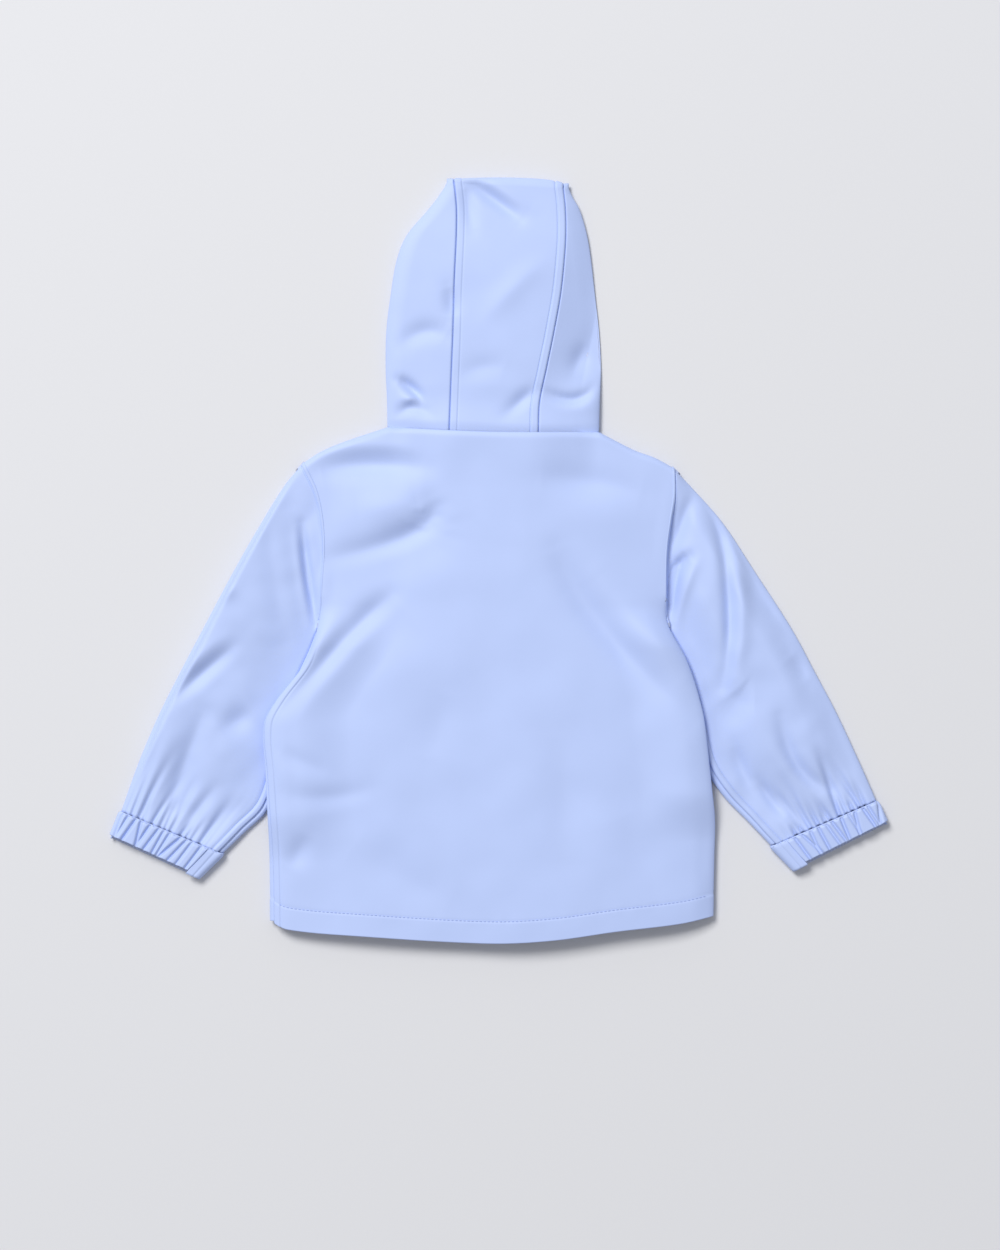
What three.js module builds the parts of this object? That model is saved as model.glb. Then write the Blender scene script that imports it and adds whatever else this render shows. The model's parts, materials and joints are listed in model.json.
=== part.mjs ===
// A child's hooded raincoat of coated cloth, fastened and laid flat on its front.
// Millimetres, +Z up. X runs to the right and Y towards the hood, seen from above.
// The origin lies on the surface, under the middle of the coat's outline.
// Left and right are those of the wearer, who would face the surface.
import * as THREE from 'three';

// Driving dimensions
const WALL = 1.4; // coated cloth with its backing and seam allowances
const GAP = 0.3; // between pieces that are sewn together
const CURVED_GAP = 0.5; // where a seam curves: the front neckline and the hood's seams
const ARMHOLE_GAP = 0.8;
const BODY = { radius: 6, swell: 6.5, neckStep: 4.5 };
const SLEEVE = { radius: 3.3, swell: 9, seamInset: 12 };
const HOOD = { radius: 5, swell: 5 };
const UNDERARM_GAP = 1.5; // where the sleeve, the back and a front meet
const HIDDEN_SLEEVE_LIFT = 7.3; // what the sleeve lifts the body's edge by, where it lies under it
const UNDERARM = -54; // height of the armholes' lower end
const SHOULDER_TIP = { left: { x: -164, y: 83 }, right: { x: 149, y: 79 } };
const NECK_POINT = { left: { x: -92.7, y: 113 }, right: { x: 86.7, y: 108.8 } };
const ARMHOLE_RADIUS = 0.5; // the body's edges don't roll where the sleeves are set in
const NECK_DIP = 2.5; // how far the nape line falls below the line between the neck points
const CUFF = { gathers: 14, gatherHeight: 1.5, rows: 2, split: 0.17, start: 0.02 };
const PLACKET = { lap: 14, raised: 1.5, flat: 22, slope: 16, snapRadius: 6, snapHeight: 1.2, snaps: 5 };

const FABRIC = { color: '#bfd0fb', roughness: 0.5, metalness: 0 };
const SNAP_PLASTIC = { color: '#b4c6f4', roughness: 0.35, metalness: 0 };

const { PI, abs, min, max, sin, cos, sqrt, hypot } = Math;
const { lerp, clamp, smoothstep } = THREE.MathUtils;

// Reads a table: each named column after the first is a smooth function of the first one.
function table(names, rows) {
  const slope = (i, column) => {
    const before = rows[max(i - 1, 0)];
    const after = rows[min(i + 1, rows.length - 1)];
    return (after[column] - before[column]) / (after[0] - before[0]);
  };
  const read = (column) => (at) => {
    const key = clamp(at, rows[0][0], rows.at(-1)[0]);
    const i = min(rows.findLastIndex((row) => row[0] <= key), rows.length - 2);
    const span = rows[i + 1][0] - rows[i][0];
    const t = (key - rows[i][0]) / span;
    const line = lerp(rows[i][column], rows[i + 1][column], t);
    const drop = rows[i + 1][column] - rows[i][column];
    const start = slope(i, column) * span - drop;
    const end = slope(i + 1, column) * span - drop;
    return line + t * (1 - t) * ((1 - t) * start - t * end);
  };
  return Object.fromEntries(names.slice(1).map((name, i) => [name, read(i + 1)]));
}

// The body's side edges as seen from above, from the hem up through the armholes
const SIDES = {
  left: table(['y', 'x'], [
    [-307, -193], [-238, -194], [-183, -196.5], [-140, -198], [-120, -188], [-88, -163.5],
    [-54, -152], [-16, -148], [22, -146.5], [57, -152], [83, -164],
  ]),
  right: table(['y', 'x'], [
    [-303, 184.5], [-253, 185.5], [-223, 186], [-194, 183], [-152, 178.5], [-128, 175], [-88, 162.5],
    [-54, 145.5], [-20, 143], [10, 143.5], [34, 146.5], [56, 149.5], [79, 149],
  ]),
};

// How far inside the left edge the side seam shows on the back, from the hem up
const LEFT_SEAM = table(['y', 'inset'], [
  [-307, 7], [-265, 6.5], [-192, 4.8], [-142, 3], [-80, 0.6], [-54, 0], [-20, 0],
]);

const HEM = table(['x', 'back', 'front'], [
  [-193, -307, -307], [-178, -314, -308], [-116, -319.5, -311], [-8, -325.5, -315],
  [47, -323, -314], [101, -315.5, -311], [156, -309, -306], [184.5, -303, -303],
]);

const SHOULDER = {
  left: table(['x', 'y'], [[-164, 83], [-150, 92], [-130, 100.5], [-92.7, 113]]),
  right: table(['x', 'y'], [[86.7, 108.8], [116.5, 93.5], [134, 87], [149, 79]]),
};
const FRONT_NECK = table(['x', 'y'], [
  [-92.7, 113], [-82, 91], [-57, 68], [-23, 56.5], [0, 54.4], [20, 56.5], [52, 67], [77, 88], [86.7, 108.8],
]);

// Each sleeve's folds, from the armhole to the top of the cuff
const SLEEVE_FOLDS = {
  left: table(['along', 'outerX', 'outerY', 'innerX', 'innerY'], [
    [0, -164.5, 83, -153, -54.5],
    [0.12, -181, 64, -156, -68],
    [0.25, -200.6, 32, -160.5, -86],
    [0.4, -224, -9, -168, -112],
    [0.55, -249, -56, -176, -148],
    [0.7, -270, -96, -185, -180],
    [0.82, -288, -132, -196, -213],
    [0.92, -305, -172, -215, -232],
    [1, -320, -214, -233.5, -250],
  ]),
  right: table(['along', 'outerX', 'outerY', 'innerX', 'innerY'], [
    [0, 149.5, 79, 146.5, -54.5],
    [0.12, 166, 62, 151, -68],
    [0.25, 192, 32, 158.5, -86],
    [0.4, 219, -9, 166, -114],
    [0.55, 250, -57, 171, -148],
    [0.7, 270.5, -95, 178, -178],
    [0.82, 290, -132, 193.5, -202],
    [0.92, 308.5, -172, 214, -223],
    [1, 323, -205, 233.5, -243.5],
  ]),
};
const CUFF_END = {
  left: { outer: [-329, -237], inner: [-255, -271] },
  right: { outer: [332, -225], inner: [254, -264.5] },
};

// The hood's sides by rows, from the neck seam to the top: the seam with the centre strip, the outer
// fold, and the face opening underneath, which becomes the seam again above the forehead
const HOOD_COLUMNS = ['up', 'seamX', 'seamY', 'foldX', 'foldY', 'faceX', 'faceY'];
const HOOD_SIDES = {
  left: table(HOOD_COLUMNS, [
    [0, -40.4, 110.9, -93.3, 113.8, -2, 55.5],
    [0.12, -39.4, 137, -93.7, 137, -12, 88],
    [0.25, -38.4, 163, -94.8, 163, -30, 118],
    [0.4, -37.2, 195, -94.2, 195, -43, 152],
    [0.55, -36.5, 226, -90.5, 226, -48, 195],
    [0.7, -35.2, 256, -85.2, 256, -44, 238],
    [0.8, -34.3, 277, -76.5, 277, -37, 277],
    [0.9, -34.2, 299, -58, 299, -37.5, 299],
    [0.96, -35.5, 314, -46.5, 314, -38, 314],
    [1, -36.5, 321, -42.5, 321, -38.5, 321],
  ]),
  right: table(HOOD_COLUMNS, [
    [0, 34.9, 108, 86.9, 109.6, 2, 55.5],
    [0.12, 36, 134, 87.6, 134, 12, 88],
    [0.25, 42, 163, 88.4, 163, 28, 118],
    [0.4, 48.5, 195, 86.8, 195, 40, 152],
    [0.55, 54, 226, 83.4, 226, 45, 195],
    [0.7, 57.2, 256, 80, 256, 46, 238],
    [0.8, 58.4, 277, 76.6, 277, 50, 277],
    [0.9, 58, 299, 70, 299, 52, 299],
    [0.96, 56.8, 311, 63, 311, 53.5, 311],
    [1, 56.2, 316, 61, 316, 54, 316],
  ]),
};
const FOREHEAD = 0.8; // where on those rows the face opening ends
const HOOD_TOP = table(['x', 'y'], [[-41, 324.5], [-10, 325.5], [20, 325.3], [45, 323.5], [56, 320.5]]);

// Creases: a soft trough, or a ridge where the height is positive, along two straight stretches
const CREASE_COLUMNS = ['fromX', 'fromY', 'viaX', 'viaY', 'toX', 'toY', 'halfWidth', 'height'];
const creases = (rows) => rows.map((row) => (
  Object.fromEntries(CREASE_COLUMNS.map((name, i) => [name, row[i]]))));
const BODY_CREASES = creases([
  [-146, 86, -105, 88, -58, 82, 9, -3.5],
  [-57, 50, -68, 25, -140, 2, 12, -4],
  [-118, 42, -90, 46, -68, 50, 16, 2.5],
  [-90, -30, -130, -68, -178, -124, 13, -4.4],
  [-142, -46, -158, -78, -176, -104, 10, 3],
  [50, 8, 90, -58, 166, -134, 17, -3],
  [37, 70, 80, 66, 122, 57, 15, -2.5],
  [-178, -166, -150, -176, -106, -194, 14, -2],
  [-176, -262, -168, -248, -160, -234, 10, -2],
  [-122, -245, -85, -268, -40, -288, 18, -1.8],
]);
const SLEEVE_CREASES = {
  left: creases([
    [-166, 12, -162, -20, -155, -50, 6, -1.2],
    [-192, 0, -186, -34, -177, -66, 11, -1.5],
    [-224, -74, -250, -96, -277, -121, 10, -2.6],
    [-258, -166, -274, -182, -288, -204, 9, -3],
    [-208, -130, -222, -137, -236, -146, 12, -1.8],
    [-244, -196, -256, -210, -267, -220, 7, -2],
  ]),
  right: creases([
    [158, -22, 152, -38, 149, -52, 7, -2],
    [190, 36, 199, -36, 193, -104, 7, -4],
    [240, -134, 256, -176, 282, -195, 9, -4],
    [275, -163, 288, -184, 297, -204, 7, -2.5],
    [224, -188, 240, -202, 255, -216, 7, -2.4],
    [198, -116, 206, -120, 216, -121, 14, -2.5],
  ]),
};
const HOOD_CREASES = creases([
  [-25, 312, -23, 296, -20, 276, 5, -2.5],
  [-17, 318, 0, 308, 18, 294, 7, -3],
  [-70, 193, -55, 180, -42, 168, 10, -2],
  [-84, 150, -74, 146, -64, 138, 8, -4],
  [-78, 120, -62, 127, -46, 119, 6, -3],
  [29, 143, 17, 131, 2, 117, 7, -4],
  [50, 141, 64, 137, 80, 145, 7, -4],
]);

// The height that creases add at a point
function creaseHeight(list, x, y) {
  return list.reduce((total, c) => {
    const legs = [[c.fromX, c.fromY, c.viaX, c.viaY, 0], [c.viaX, c.viaY, c.toX, c.toY, 1]];
    const near = legs.map(([ax, ay, bx, by, leg]) => {
      const length = hypot(bx - ax, by - ay);
      const t = clamp(((x - ax) * (bx - ax) + (y - ay) * (by - ay)) / length ** 2, 0, 1);
      return { distance: hypot(x - lerp(ax, bx, t), y - lerp(ay, by, t)), run: (leg + t) / 2 };
    }).reduce((a, b) => (b.distance < a.distance ? b : a));
    const taper = 0.35 + 0.65 * sin(PI * near.run);
    return total + c.height * taper * Math.exp(-((near.distance / c.halfWidth) ** 2));
  }, 0);
}

// Places from the first stop to the last, with the given number of steps between stops
function places(stops, counts) {
  const list = [stops[0]];
  counts.forEach((count, i) => {
    for (let k = 1; k <= count; k += 1) list.push(lerp(stops[i], stops[i + 1], k / count));
  });
  return list;
}

// A flattened tube's section between its left and right folds. Places are measured round it: 0 at the
// left fold, up over the top to the right fold at one side length, and back underneath.
function section(left, right, radius) {
  const width = hypot(right[0] - left[0], right[1] - left[1]);
  const quarter = (radius * PI) / 2;
  return { left, right, radius, width, quarter, side: width + 2 * (quarter - radius) };
}

// The rise and inset of a length of cloth that starts at a fold: positive lengths lie on top
function overFold(length, radius) {
  const angle = clamp(length / radius, -PI / 2, PI / 2);
  const straight = max(0, abs(length) - (radius * PI) / 2);
  return { rise: sin(angle), inset: radius * (1 - cos(angle)) + straight };
}

function roundTube(tube, place) {
  const lap = THREE.MathUtils.euclideanModulo(place, 2 * tube.side);
  const nearLeft = lap < tube.side / 2 || lap > 1.5 * tube.side;
  const fromLeft = lap > tube.side ? lap - 2 * tube.side : lap;
  const fold = overFold(nearLeft ? fromLeft : tube.side - lap, tube.radius);
  const share = (nearLeft ? fold.inset : tube.width - fold.inset) / tube.width;
  const [x, y] = [0, 1].map((axis) => lerp(tube.left[axis], tube.right[axis], share));
  return { ...fold, share, x, y };
}

// The direction of a line of points at one of them, from a curve through three at an end
function tangent(count, k, at) {
  const along = new THREE.Vector3();
  if (k > 0 && k < count - 1) return along.subVectors(at(k + 1), at(k - 1));
  const step = k === 0 ? 1 : -1;
  along.addScaledVector(at(k), -3).addScaledVector(at(k + step), 4).sub(at(k + 2 * step));
  return along.multiplyScalar(step);
}

// Turns a grid of outer points into one closed wall. relief(i, j) thickens it outwards.
function wall(rows, relief = () => 0) {
  const height = rows.length;
  const width = rows[0].length;
  const at = (i, j) => rows[i][j];
  const upAt = (i, j) => tangent(height, i, (k) => at(k, j));
  const acrossAt = (i, j) => tangent(width, j, (k) => at(i, k));
  const outer = [];
  const inner = [];
  for (let i = 0; i < height; i += 1) {
    for (let j = 0; j < width; j += 1) {
      const normal = acrossAt(i, j).cross(upAt(i, j)).normalize();
      outer.push(at(i, j).clone().addScaledVector(normal, relief(i, j)));
      inner.push(at(i, j).clone().addScaledVector(normal, -WALL));
    }
  }
  const index = [];
  const quad = (a, b, c, d) => index.push(a, b, c, a, c, d);
  const skin = height * width;
  const id = (i, j) => i * width + j;
  for (let i = 0; i < height - 1; i += 1) {
    for (let j = 0; j < width - 1; j += 1) {
      quad(id(i, j), id(i, j + 1), id(i + 1, j + 1), id(i + 1, j));
      quad(skin + id(i, j), skin + id(i + 1, j), skin + id(i + 1, j + 1), skin + id(i, j + 1));
    }
  }
  const rim = (a, b) => quad(b, a, skin + a, skin + b);
  for (let j = 0; j < width - 1; j += 1) {
    rim(id(0, j), id(0, j + 1));
    rim(id(height - 1, j + 1), id(height - 1, j));
  }
  for (let i = 0; i < height - 1; i += 1) {
    rim(id(i + 1, 0), id(i, 0));
    rim(id(i, width - 1), id(i + 1, width - 1));
  }
  const geometry = new THREE.BufferGeometry();
  const positions = [...outer, ...inner].flatMap((p) => p.toArray());
  geometry.setAttribute('position', new THREE.Float32BufferAttribute(positions, 3));
  geometry.setIndex(index);
  geometry.computeVertexNormals();
  return geometry;
}

const handOf = (x) => (x < 0 ? 'left' : 'right');

// 1 across the neck, falling to 0 at the neck points over the given length
function neckness(x, over = 22) {
  const fromPoint = x < 0 ? x - NECK_POINT.left.x : NECK_POINT.right.x - x;
  return smoothstep(fromPoint, 0, over);
}

// The line along the shoulders, with the nape line or the front neckline between them
function topLine(x, isBack) {
  if (x <= NECK_POINT.left.x) return SHOULDER.left.y(x);
  if (x >= NECK_POINT.right.x) return SHOULDER.right.y(x);
  if (!isBack) return FRONT_NECK.y(x);
  const share = (x - NECK_POINT.left.x) / (NECK_POINT.right.x - NECK_POINT.left.x);
  return lerp(NECK_POINT.left.y, NECK_POINT.right.y, share) - NECK_DIP * sin(PI * share);
}

// How far a hidden sleeve lifts the body at a distance inside its side edge
function sleeveLift(hand, inset, y) {
  const reach = hand === 'left' ? 28 : 18;
  const exit = hand === 'left' ? -214 : -196;
  const along = smoothstep(-y, 38, 76) * (1 - smoothstep(-y, -exit, -exit + 44));
  return HIDDEN_SLEEVE_LIFT * along * (1 - smoothstep(inset, reach, reach + 46));
}

// How far an armhole stands open, from 0 at the underarm to 1
const armholeOpening = (y) => smoothstep(y, UNDERARM, UNDERARM + 26);

// How far snaps hold the fronts' lapped edges off the surface
const placketRaise = (x) => (
  PLACKET.raised * (1 - smoothstep(abs(x), PLACKET.flat, PLACKET.flat + PLACKET.slope)));

// The height of the body's outer face. fold is the nearer side fold, and topRise how far round the
// shoulder fold or over the nape the point is.
function bodyHeight(x, y, fold, topRise, onTop) {
  const lift = sleeveLift(handOf(x), fold.inset, y);
  const middle = lift + BODY.radius;
  const spread = 1 - (1 - abs(fold.rise)) * (1 - armholeOpening(y));
  if (!onTop) {
    const bottom = lift + placketRaise(x);
    return lerp(middle, bottom, spread * lerp(topRise, 1, neckness(x)));
  }
  const towardsNeck = lerp(smoothstep(-y, -100, -40), 1, neckness(x, 60));
  const loft = BODY.swell * smoothstep(fold.inset, 4, 90) * towardsNeck;
  const collar = 1.5 * neckness(x) * smoothstep(y, 60, 105);
  const top = middle + BODY.radius + collar + loft + creaseHeight(BODY_CREASES, x, y);
  const edge = lerp(middle, top - BODY.neckStep, neckness(x));
  return lerp(middle, lerp(edge, top, topRise), spread);
}

// Rows up the body: a share of the straight run, and a length of cloth left to the top line
const BODY_QUARTER = (BODY.radius * PI) / 2;
const BODY_ROWS = [
  ...places([1, 0.95, 0], [1, 22]).map((share) => ({ share, extra: BODY_QUARTER })),
  ...places([BODY_QUARTER, GAP / 2], [3]).slice(1).map((extra) => ({ share: 0, extra })),
];

// The body's height above its hem line at one share of its width, for a row
function bodyRun(row, share, isBack) {
  const hemX = lerp(-193, 184.5, share);
  const topX = lerp(SHOULDER_TIP.left.x, SHOULDER_TIP.right.x, share);
  const hemY = isBack ? HEM.back(hemX) : HEM.front(hemX);
  const topY = topLine(topX, isBack);
  const length = row.share * (topY - hemY - BODY.radius) + row.extra;
  const fold = overFold(length, BODY.radius);
  return { y: topY - fold.inset, rise: fold.rise };
}

// One row of a body panel. pick(tube, y) gives its places round the body's section.
function bodyRow(row, isBack, pick) {
  const left = bodyRun(row, 0, isBack).y;
  const right = bodyRun(row, 1, isBack).y;
  const radius = lerp(BODY.radius, ARMHOLE_RADIUS, armholeOpening(left));
  const tube = section([SIDES.left.x(left), left], [SIDES.right.x(right), right], radius);
  return pick(tube, left).map((place) => {
    const fold = roundTube(tube, place);
    const run = bodyRun(row, fold.share, isBack);
    const onTop = fold.rise >= 0;
    return new THREE.Vector3(fold.x, run.y, bodyHeight(fold.x, run.y, fold, run.rise, onTop));
  });
}

function backPanel() {
  const pick = (tube, y) => places(
    [LEFT_SEAM.inset(y) + GAP / 2, BODY_QUARTER, tube.side - BODY_QUARTER, tube.side - GAP / 2],
    [2, 25, 3],
  );
  return wall(BODY_ROWS.map((row) => bodyRow(row, true, pick)));
}

// The front on the wearer's left, outermost at the placket
function frontLeft() {
  const pick = (tube, y) => {
    const edge = 2 * tube.side - tube.quarter + tube.radius - (PLACKET.lap + abs(tube.left[0]));
    const fold = 2 * tube.side;
    return places([edge, edge + 112, fold - BODY_QUARTER, fold + LEFT_SEAM.inset(y) - GAP / 2], [9, 4, 4]);
  };
  return wall(BODY_ROWS.map((row) => bodyRow(row, false, pick)));
}

// The front on the wearer's right, whose edge lies on the left front's
function frontRight() {
  const pick = (tube) => {
    const edge = tube.side + tube.quarter - tube.radius + PLACKET.lap + tube.right[0];
    return places([tube.side + GAP / 2, tube.side + BODY_QUARTER, edge - 106, edge], [3, 4, 9]);
  };
  const rows = BODY_ROWS.map((row) => bodyRow(row, false, pick));
  const lapped = (x) => (WALL + GAP) * (1 - smoothstep(x, PLACKET.lap + 3, PLACKET.lap + 22));
  return wall(rows.map((row) => row.map((p) => p.setZ(p.z + lapped(p.x)))));
}

// Points of an armhole's edge, from the underarm to the shoulder tip, a gap outside the body
function armholeEdge(hand, onTop) {
  const side = hand === 'left' ? 0 : 1;
  const runs = BODY_ROWS.map((row) => bodyRun(row, side, true)).filter((run) => run.y > UNDERARM);
  const outwards = hand === 'left' ? -1 : 1;
  return [{ y: UNDERARM, rise: 1 }, ...runs].map(({ y, rise }, i) => {
    const x = SIDES[hand].x(y);
    const z = bodyHeight(x, y, { inset: 0, rise: 0 }, rise, onTop);
    return new THREE.Vector3(x + outwards * (i === 0 ? UNDERARM_GAP : ARMHOLE_GAP), y, z);
  });
}

function alongLine(points, share) {
  const lengths = points.slice(1).map((p, i) => p.distanceTo(points[i]));
  let left = share * lengths.reduce((a, b) => a + b, 0);
  const i = lengths.findIndex((length, k) => {
    if (left <= length || k === lengths.length - 1) return true;
    left -= length;
    return false;
  });
  return points[i].clone().lerp(points[i + 1], clamp(left / lengths[i], 0, 1));
}

// The sleeve's section at a share of its length
function sleeveSection(hand, along) {
  const folds = SLEEVE_FOLDS[hand];
  const outer = [folds.outerX(along), folds.outerY(along)];
  const inner = [folds.innerX(along), folds.innerY(along)];
  const radius = lerp(SLEEVE.radius, 4.5, smoothstep(along, 0.85, 1));
  return hand === 'left' ? section(outer, inner, radius) : section(inner, outer, radius);
}

// A point of the sleeve. The first fifth eases from the armhole's edge to the sleeve's own section.
function sleevePoint(hand, along, tube, place, armhole) {
  const fold = roundTube(tube, place);
  const onTop = fold.rise >= 0;
  const inwards = hand === 'left' ? 1 - fold.share : fold.share;
  const fromInner = inwards * tube.width;
  const bulge = SLEEVE.swell * smoothstep(fromInner, 20, 62) * smoothstep(tube.width - fromInner, 2, 34);
  const ends = smoothstep(along, 0, 0.24) * (1 - 0.5 * smoothstep(along, 0.93, 1));
  const folds = creaseHeight(SLEEVE_CREASES[hand], fold.x, fold.y) * smoothstep(fold.inset, 1, 7);
  const top = 2 * tube.radius + bulge * ends + folds;
  const point = new THREE.Vector3(fold.x, fold.y, lerp(tube.radius, onTop ? top : 0, abs(fold.rise)));
  const mouth = alongLine(armhole[onTop ? 'top' : 'under'], inwards);
  const start = sleeveSection(hand, 0);
  const chordX = lerp(start.left[0], start.right[0], fold.share);
  const chordY = lerp(start.left[1], start.right[1], fold.share);
  const bend = (1 - smoothstep(along, 0, 0.3));
  point.x += (mouth.x - chordX) * bend;
  point.y += (mouth.y - chordY) * bend;
  point.z = lerp(mouth.z, point.z, smoothstep(along, 0, 0.16));
  return point;
}

const SLEEVE_ROWS = places([1, 0.9, 0.16, 0], [2, 16, 3]);

// Stops round a sleeve from its underarm seam, which shows on the back, and round again to it
function sleeveStops(hand, tube, seam) {
  const { side, quarter } = tube;
  const start = hand === 'left' ? side - seam : seam;
  const folds = [side, 2 * side].flatMap((fold) => [fold - quarter, fold, fold + quarter]);
  return [start + GAP / 2, ...folds, start + 2 * side - GAP / 2];
}

function sleeve(hand) {
  const armhole = { top: armholeEdge(hand, true), under: armholeEdge(hand, false) };
  const counts = hand === 'left' ? [1, 2, 2, 7, 2, 2, 11] : [11, 2, 2, 7, 2, 2, 1];
  const rows = SLEEVE_ROWS.map((along) => {
    const tube = sleeveSection(hand, along);
    const seam = lerp(SLEEVE.seamInset * 0.6, SLEEVE.seamInset, smoothstep(along, 0, 0.7));
    const round = places(sleeveStops(hand, tube, seam), counts);
    return round.map((place) => sleevePoint(hand, along, tube, place, armhole));
  });
  return wall(rows);
}

// The cuff's section, from the sleeve's end to the open one
function cuffSection(hand, along) {
  const start = sleeveSection(hand, 1);
  const outer = hand === 'left' ? start.left : start.right;
  const inner = hand === 'left' ? start.right : start.left;
  const blend = (from, to) => [lerp(from[0], to[0], along), lerp(from[1], to[1], along)];
  const ends = [blend(outer, CUFF_END[hand].outer), blend(inner, CUFF_END[hand].inner)];
  if (hand === 'right') ends.reverse();
  return section(ends[0], ends[1], start.radius);
}

function cuffRows(hand, first, last, pick) {
  return places([last, first], [CUFF.rows]).map((along) => {
    const tube = cuffSection(hand, along);
    return pick(tube).map((place) => {
      const fold = roundTube(tube, place);
      const height = fold.rise >= 0 ? 2 * tube.radius + 1 : 0;
      return new THREE.Vector3(fold.x, fold.y, lerp(tube.radius, height, abs(fold.rise)));
    });
  });
}

// The half of a cuff that elastic gathers, on the back: its waves are raised over a plain inside
function gatheredCuff(hand) {
  const steps = CUFF.gathers * 4;
  const pick = (tube) => {
    const split = CUFF.split * tube.side;
    const ends = hand === 'left' ? [1.5, tube.side - split - GAP / 2] : [split + GAP / 2, tube.side - 1.5];
    return places(ends, [steps]);
  };
  const wave = (i, j) => CUFF.gatherHeight * (0.5 - 0.5 * cos((2 * PI * j) / 4));
  return wall(cuffRows(hand, CUFF.start, 0.92, pick), wave);
}

// The plain half, on the front, which wraps round the inner fold on to the back
function plainCuff(hand) {
  const pick = (tube) => {
    const { side, quarter } = tube;
    const split = CUFF.split * side;
    const underneath = [side + quarter, 2 * side - quarter];
    if (hand === 'left') {
      const inner = [side - split + GAP / 2, side - quarter, side];
      return places([...inner, ...underneath, 2 * side + 1.5 - GAP], [2, 2, 2, 6, 3]);
    }
    const inner = [2 * side, 2 * side + quarter, 2 * side + split - GAP / 2];
    return places([side - 1.5 + GAP, ...underneath, ...inner], [3, 6, 2, 2, 2]);
  };
  return wall(cuffRows(hand, CUFF.start, 1, pick));
}

// The hood's outer face: sideRise and topRise say how far round the side and top folds a point is
function hoodHeight(x, y, up, sideRise, topRise, onTop) {
  if (!onTop) return HOOD.radius * (1 - abs(sideRise) * topRise);
  const arch = HOOD.swell * smoothstep(y, 100, 150) * (1 - smoothstep(y, 240, 320)) * (1 - (x / 100) ** 2);
  const own = 2 * HOOD.radius + arch + creaseHeight(HOOD_CREASES, x, y);
  const napeTop = 2 * BODY.radius + BODY.swell * smoothstep(150 - abs(x), 4, 90) * neckness(x, 60) + 1.5;
  const atNeck = lerp(HOOD.radius * 2, napeTop - BODY.neckStep, neckness(x));
  const top = lerp(atNeck, own, smoothstep(up, 0, 0.14));
  return lerp(HOOD.radius, top, abs(sideRise) * topRise);
}

function hoodTopRise(x, y) {
  const inset = clamp((HOOD_TOP.y(x) - y) / HOOD.radius, 0, 1);
  return sqrt(1 - (1 - inset) ** 2);
}

// How far the hood's lower rows follow the front neckline below a straight line
function necklineFall(edges, share, up) {
  const x = lerp(edges.foldX(0), edges.faceX(0), share);
  const line = lerp(edges.foldY(0), edges.faceY(0), share);
  return (FRONT_NECK.y(x) + CURVED_GAP - line) * (1 - smoothstep(up, 0, 0.4)) * smoothstep(share, 0, 0.04);
}

// The hood's seams stand a little further apart at the sharp corner by the top fold
const hoodSeamGap = (up) => lerp(CURVED_GAP, 2 * CURVED_GAP, smoothstep(up, 0.8, 0.96));

const HOOD_ROWS = [...places([0, 0.8], [9]), 0.85, 0.9, 0.96, 1];

// One hood side, from the centre strip's seam over the outer fold to the face opening
function hoodSide(hand) {
  const sign = hand === 'left' ? 1 : -1;
  const edges = HOOD_SIDES[hand];
  const quarter = (HOOD.radius * PI) / 2;
  const spare = quarter - HOOD.radius;
  const rows = HOOD_ROWS.map((up) => {
    const fold = [edges.foldX(up), edges.foldY(up)];
    const apart = sign * hoodSeamGap(up);
    const seam = [edges.seamX(up) - apart / 2, edges.seamY(up)];
    const face = [edges.faceX(up) - apart / 2, edges.faceY(up)];
    const toSeam = abs(seam[0] - fold[0]) + spare;
    const toFace = abs(face[0] - fold[0]) + spare;
    const lower = min(quarter, 0.7 * toFace);
    const upper = min(quarter, 0.7 * toSeam);
    const row = places([-toFace, -lower, 0, upper, toSeam], [6, 3, 3, 5]).map((place) => {
      const over = overFold(place, HOOD.radius);
      const end = place < 0 ? face : seam;
      const share = over.inset / abs(end[0] - fold[0]);
      const x = fold[0] + sign * over.inset;
      const y = lerp(fold[1], end[1], share) + (place < 0 ? necklineFall(edges, share, up) : 0);
      return new THREE.Vector3(x, y, hoodHeight(x, y, up, over.rise, hoodTopRise(x, y), place >= 0));
    });
    return hand === 'left' ? row : row.reverse();
  });
  return wall(rows);
}

// The centre strip, from the nape over the top fold to the forehead
function hoodCentre() {
  const across = places([0, 1], [8]);
  const { left, right } = HOOD_SIDES;
  const edge = (side, key, up, shift) => [side[`${key}X`](up) + shift, side[`${key}Y`](up)];
  const row = (key, up) => across.map((share) => {
    const a = edge(left, key, up, hoodSeamGap(up) / 2);
    const b = edge(right, key, up, -hoodSeamGap(up) / 2);
    return [lerp(a[0], b[0], share), lerp(a[1], b[1], share)];
  });
  const onTop = HOOD_ROWS.map((up) => row('seam', up).map(([x, y]) => (
    new THREE.Vector3(x, y, hoodHeight(x, y, up, 1, hoodTopRise(x, y), true)))));
  const rowsUnder = HOOD_ROWS.filter((up) => up >= FOREHEAD).reverse();
  const under = rowsUnder.map((up) => row('face', up).map(([x, y]) => (
    new THREE.Vector3(x, y, hoodHeight(x, y, up, 1, hoodTopRise(x, y), false)))));
  const fold = [0.35, 0, -0.35].map((turn) => across.map((share) => {
    const x = lerp(onTop.at(-1)[0].x, onTop.at(-1).at(-1).x, share);
    const y = HOOD_TOP.y(x) - HOOD.radius * (1 - sqrt(1 - turn ** 2));
    return new THREE.Vector3(x, y, HOOD.radius * (1 + turn));
  }));
  return wall([...onTop, ...fold, ...under]);
}

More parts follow.
